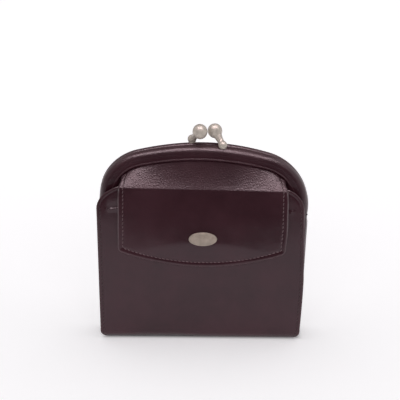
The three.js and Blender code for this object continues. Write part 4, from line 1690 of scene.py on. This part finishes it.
class PURSE_OT_plate(bpy.types.Operator):
    """Makes the plain oval plate on the flap"""

    bl_idname = "purse.plate"
    bl_label = "Oval plate"

    def execute(self, context):
        dome = mm(context.scene.purse_metal.plate_dome)
        half_length = (PLATE_HIGH.x - PLATE_LOW.x) / 2
        half_width = (PLATE_HIGH.z - PLATE_LOW.z) / 2
        back = PLATE_HIGH.y
        front = PLATE_LOW.y
        shape = bmesh.new()

        def oval(inset, y, share=1.0, count=PLATE_SIDES):
            """Points round the plate, drawn in by an inset, then by a share. One point is its middle."""
            long = (half_length - inset) * share
            wide = (half_width - inset) * share
            ring = []
            for k in range(count):
                angle = 2 * math.pi * k / count
                x = PLATE_CENTRE.x + long * math.cos(angle)
                z = PLATE_CENTRE.z + wide * math.sin(angle)
                ring.append(shape.verts.new((x * TO_METRES, y * TO_METRES, z * TO_METRES)))
            return ring

        rim = front + dome + PLATE_RIM_RISE
        top = front + dome + PLATE_RIM_RISE + PLATE_RIM_ROUND
        profile = [(PLATE_BACK_BEVEL, back), (0.0, back - PLATE_BACK_BEVEL), (0.0, top)]
        for angle in steps(0, QUARTER, 6)[1:]:
            inset = PLATE_RIM_ROUND * (1 - math.cos(angle))
            profile.append((inset, top - PLATE_RIM_ROUND * math.sin(angle)))
        outer, groove, inner = PLATE_GROOVE
        profile += [(outer, rim), (groove, rim + PLATE_RIM_RISE), (inner, rim)]
        loops = [oval(inset, y) for inset, y in profile]
        for share in steps(0, 1, 8)[1:-1]:
            loops.append(oval(inner, rim - dome * (1 - (1 - share) ** 2), 1 - share))
        for lower, upper in zip(loops, loops[1:]):
            for k in range(PLATE_SIDES):
                after = (k + 1) % PLATE_SIDES
                shape.faces.new([lower[k], lower[after], upper[after], upper[k]])
        for ring, y in ((loops[0], back), (loops[-1], front + PLATE_RIM_RISE)):
            centre = oval(inner, y, 0.0, 1)[0]
            for k in range(PLATE_SIDES):
                shape.faces.new([ring[k], ring[(k + 1) % PLATE_SIDES], centre])
        bmesh.ops.recalc_face_normals(shape, faces=shape.faces)
        plate = shape_object("oval_plate", shape)
        finish_piece(plate, shared_finish("plate_nickel"), "nickel", "ornament")
        return {"FINISHED"}


class PURSE_OT_hidden_metal(bpy.types.Operator):
    """Makes the two hinge pins, which the leather covers, and gives the press stud its finish"""

    bl_idname = "purse.hidden_metal"
    bl_label = "Pins and stud"

    def execute(self, context):
        for side, name in ((-1, "hinge_pin_left"), (1, "hinge_pin_right")):
            low, high = cad_box(name)
            middle = (low + high) / 2
            radius = (high.z - low.z) / 2
            start = Vector((side * min(abs(low.x), abs(high.x)), middle.y, middle.z))
            length = high.x - low.x - PIN_COVER
            pin = [(start, Vector((side, 0, 0)), button_profile(radius, 0.0, length, PIN_ROUND))]
            piece = turned_object(f"{name}_metal", pin)
            finish_piece(piece, shared_finish("satin_nickel"), "nickel", name)
        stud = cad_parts["press_stud"]
        stud.data.materials.clear()
        stud.data.materials.append(shared_finish("satin_nickel"))
        return {"FINISHED"}


# Stage


def camera_matrix(studio):
    """Place and turn of the camera: back from its target along its angles, and rolled."""
    turn = studio.azimuth
    rise = studio.elevation
    back = Vector((
        math.sin(turn) * math.cos(rise),
        -math.cos(turn) * math.cos(rise),
        math.sin(rise),
    ))
    right = Vector((0, 0, 1)).cross(back).normalized()
    up = back.cross(right)
    right, up = (
        right * math.cos(studio.roll) + up * math.sin(studio.roll),
        up * math.cos(studio.roll) - right * math.sin(studio.roll),
    )
    place = Vector(studio.target) + back * studio.distance
    matrix = Matrix((right, up, back)).transposed().to_4x4()
    matrix.translation = place
    return matrix


def add_floor(studio):
    """A wide sheet of white paper that ends in front of the camera's view."""
    mesh = bpy.data.meshes.new("floor")
    out = FLOOR_HALF_WIDTH
    corners = [(-out, FLOOR_FRONT), (out, FLOOR_FRONT), (out, FLOOR_BACK), (-out, FLOOR_BACK)]
    mesh.from_pydata([(x, y, 0.0) for x, y in corners], [], [(0, 1, 2, 3)])
    mesh.materials.append(floor_finish(studio.floor, studio.glow))
    linked_object("floor", mesh)


def add_room(studio):
    """A white backdrop for the camera, and a dim room for all that the purse mirrors."""
    world = bpy.data.worlds.new("studio_room")
    bpy.context.scene.world = world
    world.use_nodes = True
    tree = world.node_tree
    tree.nodes.clear()
    dim = opaque((1.0, 0.96, 0.98), studio.room)
    direct = add_node(tree, "ShaderNodeLightPath").outputs["Is Camera Ray"]
    seen = mix_colour(tree, direct, dim, (1.0, 1.0, 1.0, 1.0))
    light = add_node(tree, "ShaderNodeBackground", {"Color": seen})
    output = tree.nodes.new("ShaderNodeOutputWorld")
    tree.links.new(light.outputs["Background"], output.inputs["Surface"])


def add_light(name, power, size, place, aim):
    """A rectangular light at a place, turned towards its aim."""
    light = bpy.data.lights.new(name, "AREA")
    light.shape = "RECTANGLE"
    light.size, light.size_y = size
    light.energy = power
    lamp = linked_object(name, light)
    turn = (Vector(place) - Vector(aim)).to_track_quat("Z", "Y")
    lamp.matrix_world = Matrix.Translation(place) @ turn.to_matrix().to_4x4()
    return lamp


def add_lights(studio):
    """A wide light over the table, a soft fill from the front, and a softbox over the purse and a
    panel at each side that only show as gleams."""
    add_light("ceiling_light", studio.ceiling, *CEILING).visible_glossy = False
    fill = add_light("front_fill", studio.fill, *FRONT_FILL)
    fill.visible_glossy = False
    fill.visible_camera = False
    softbox = add_light("softbox", studio.softbox, *SOFTBOX)
    softbox.visible_diffuse = False
    softbox.data.color = (1.0, 0.86, 0.89)
    for side, power in PANEL_POWERS:
        place = (side * PANEL_OUT, PANEL_AIM[1], PANEL_HEIGHT)
        panel = add_light("side_panel", power, PANEL_SIZE, place, PANEL_AIM)
        panel.visible_diffuse = False
        panel.visible_camera = False


class PURSE_OT_studio(bpy.types.Operator):
    """Makes the floor, the lights and the camera"""

    bl_idname = "purse.studio"
    bl_label = "Studio"

    def execute(self, context):
        studio = context.scene.purse_studio
        add_floor(studio)
        add_room(studio)
        add_lights(studio)
        lens = bpy.data.cameras.new("camera")
        lens.lens = studio.lens
        lens.sensor_width = 36.0
        lens.clip_start = 0.01
        lens.clip_end = 20.0
        camera = linked_object("camera", lens)
        camera.matrix_world = camera_matrix(studio)
        context.scene.camera = camera
        context.scene.view_settings.view_transform = "Standard"
        return {"FINISHED"}


OPERATORS = (
    PURSE_OT_cover,
    PURSE_OT_leaf_lining,
    PURSE_OT_coin_front,
    PURSE_OT_gussets,
    PURSE_OT_flap,
    PURSE_OT_stitches,
    PURSE_OT_knobs,
    PURSE_OT_plate,
    PURSE_OT_hidden_metal,
    PURSE_OT_studio,
)


class PURSE_PT_panel(bpy.types.Panel):
    """Lists the purse's pieces, sizes and colours"""

    bl_idname = "PURSE_PT_panel"
    bl_label = "Leather Purse"
    bl_space_type = "VIEW_3D"
    bl_region_type = "UI"
    bl_category = "Purse"

    def draw(self, context):
        layout = self.layout
        for name, group in GROUPS.items():
            box = layout.box()
            values = getattr(context.scene, name)
            for key in group.__annotations__:
                box.prop(values, key)
        for operator in OPERATORS:
            layout.operator(operator.bl_idname)


def register():
    """Registers the settings, the operators and the panel."""
    for name, group in GROUPS.items():
        bpy.utils.register_class(group)
        setattr(bpy.types.Scene, name, bpy.props.PointerProperty(type=group))
    for operator in OPERATORS:
        bpy.utils.register_class(operator)
    bpy.utils.register_class(PURSE_PT_panel)


def unregister():
    """Takes the settings, the operators and the panel out again."""
    bpy.utils.unregister_class(PURSE_PT_panel)
    for operator in reversed(OPERATORS):
        bpy.utils.unregister_class(operator)
    for name, group in reversed(GROUPS.items()):
        delattr(bpy.types.Scene, name)
        bpy.utils.unregister_class(group)


def main():
    """Builds every piece and the stage."""
    register()
    bpy.ops.purse.cover()
    bpy.ops.purse.leaf_lining()
    bpy.ops.purse.coin_front()
    bpy.ops.purse.gussets()
    bpy.ops.purse.flap()
    bpy.ops.purse.stitches()
    bpy.ops.purse.knobs()
    bpy.ops.purse.plate()
    bpy.ops.purse.hidden_metal()
    bpy.ops.purse.studio()


if __name__ == "__main__":
    main()
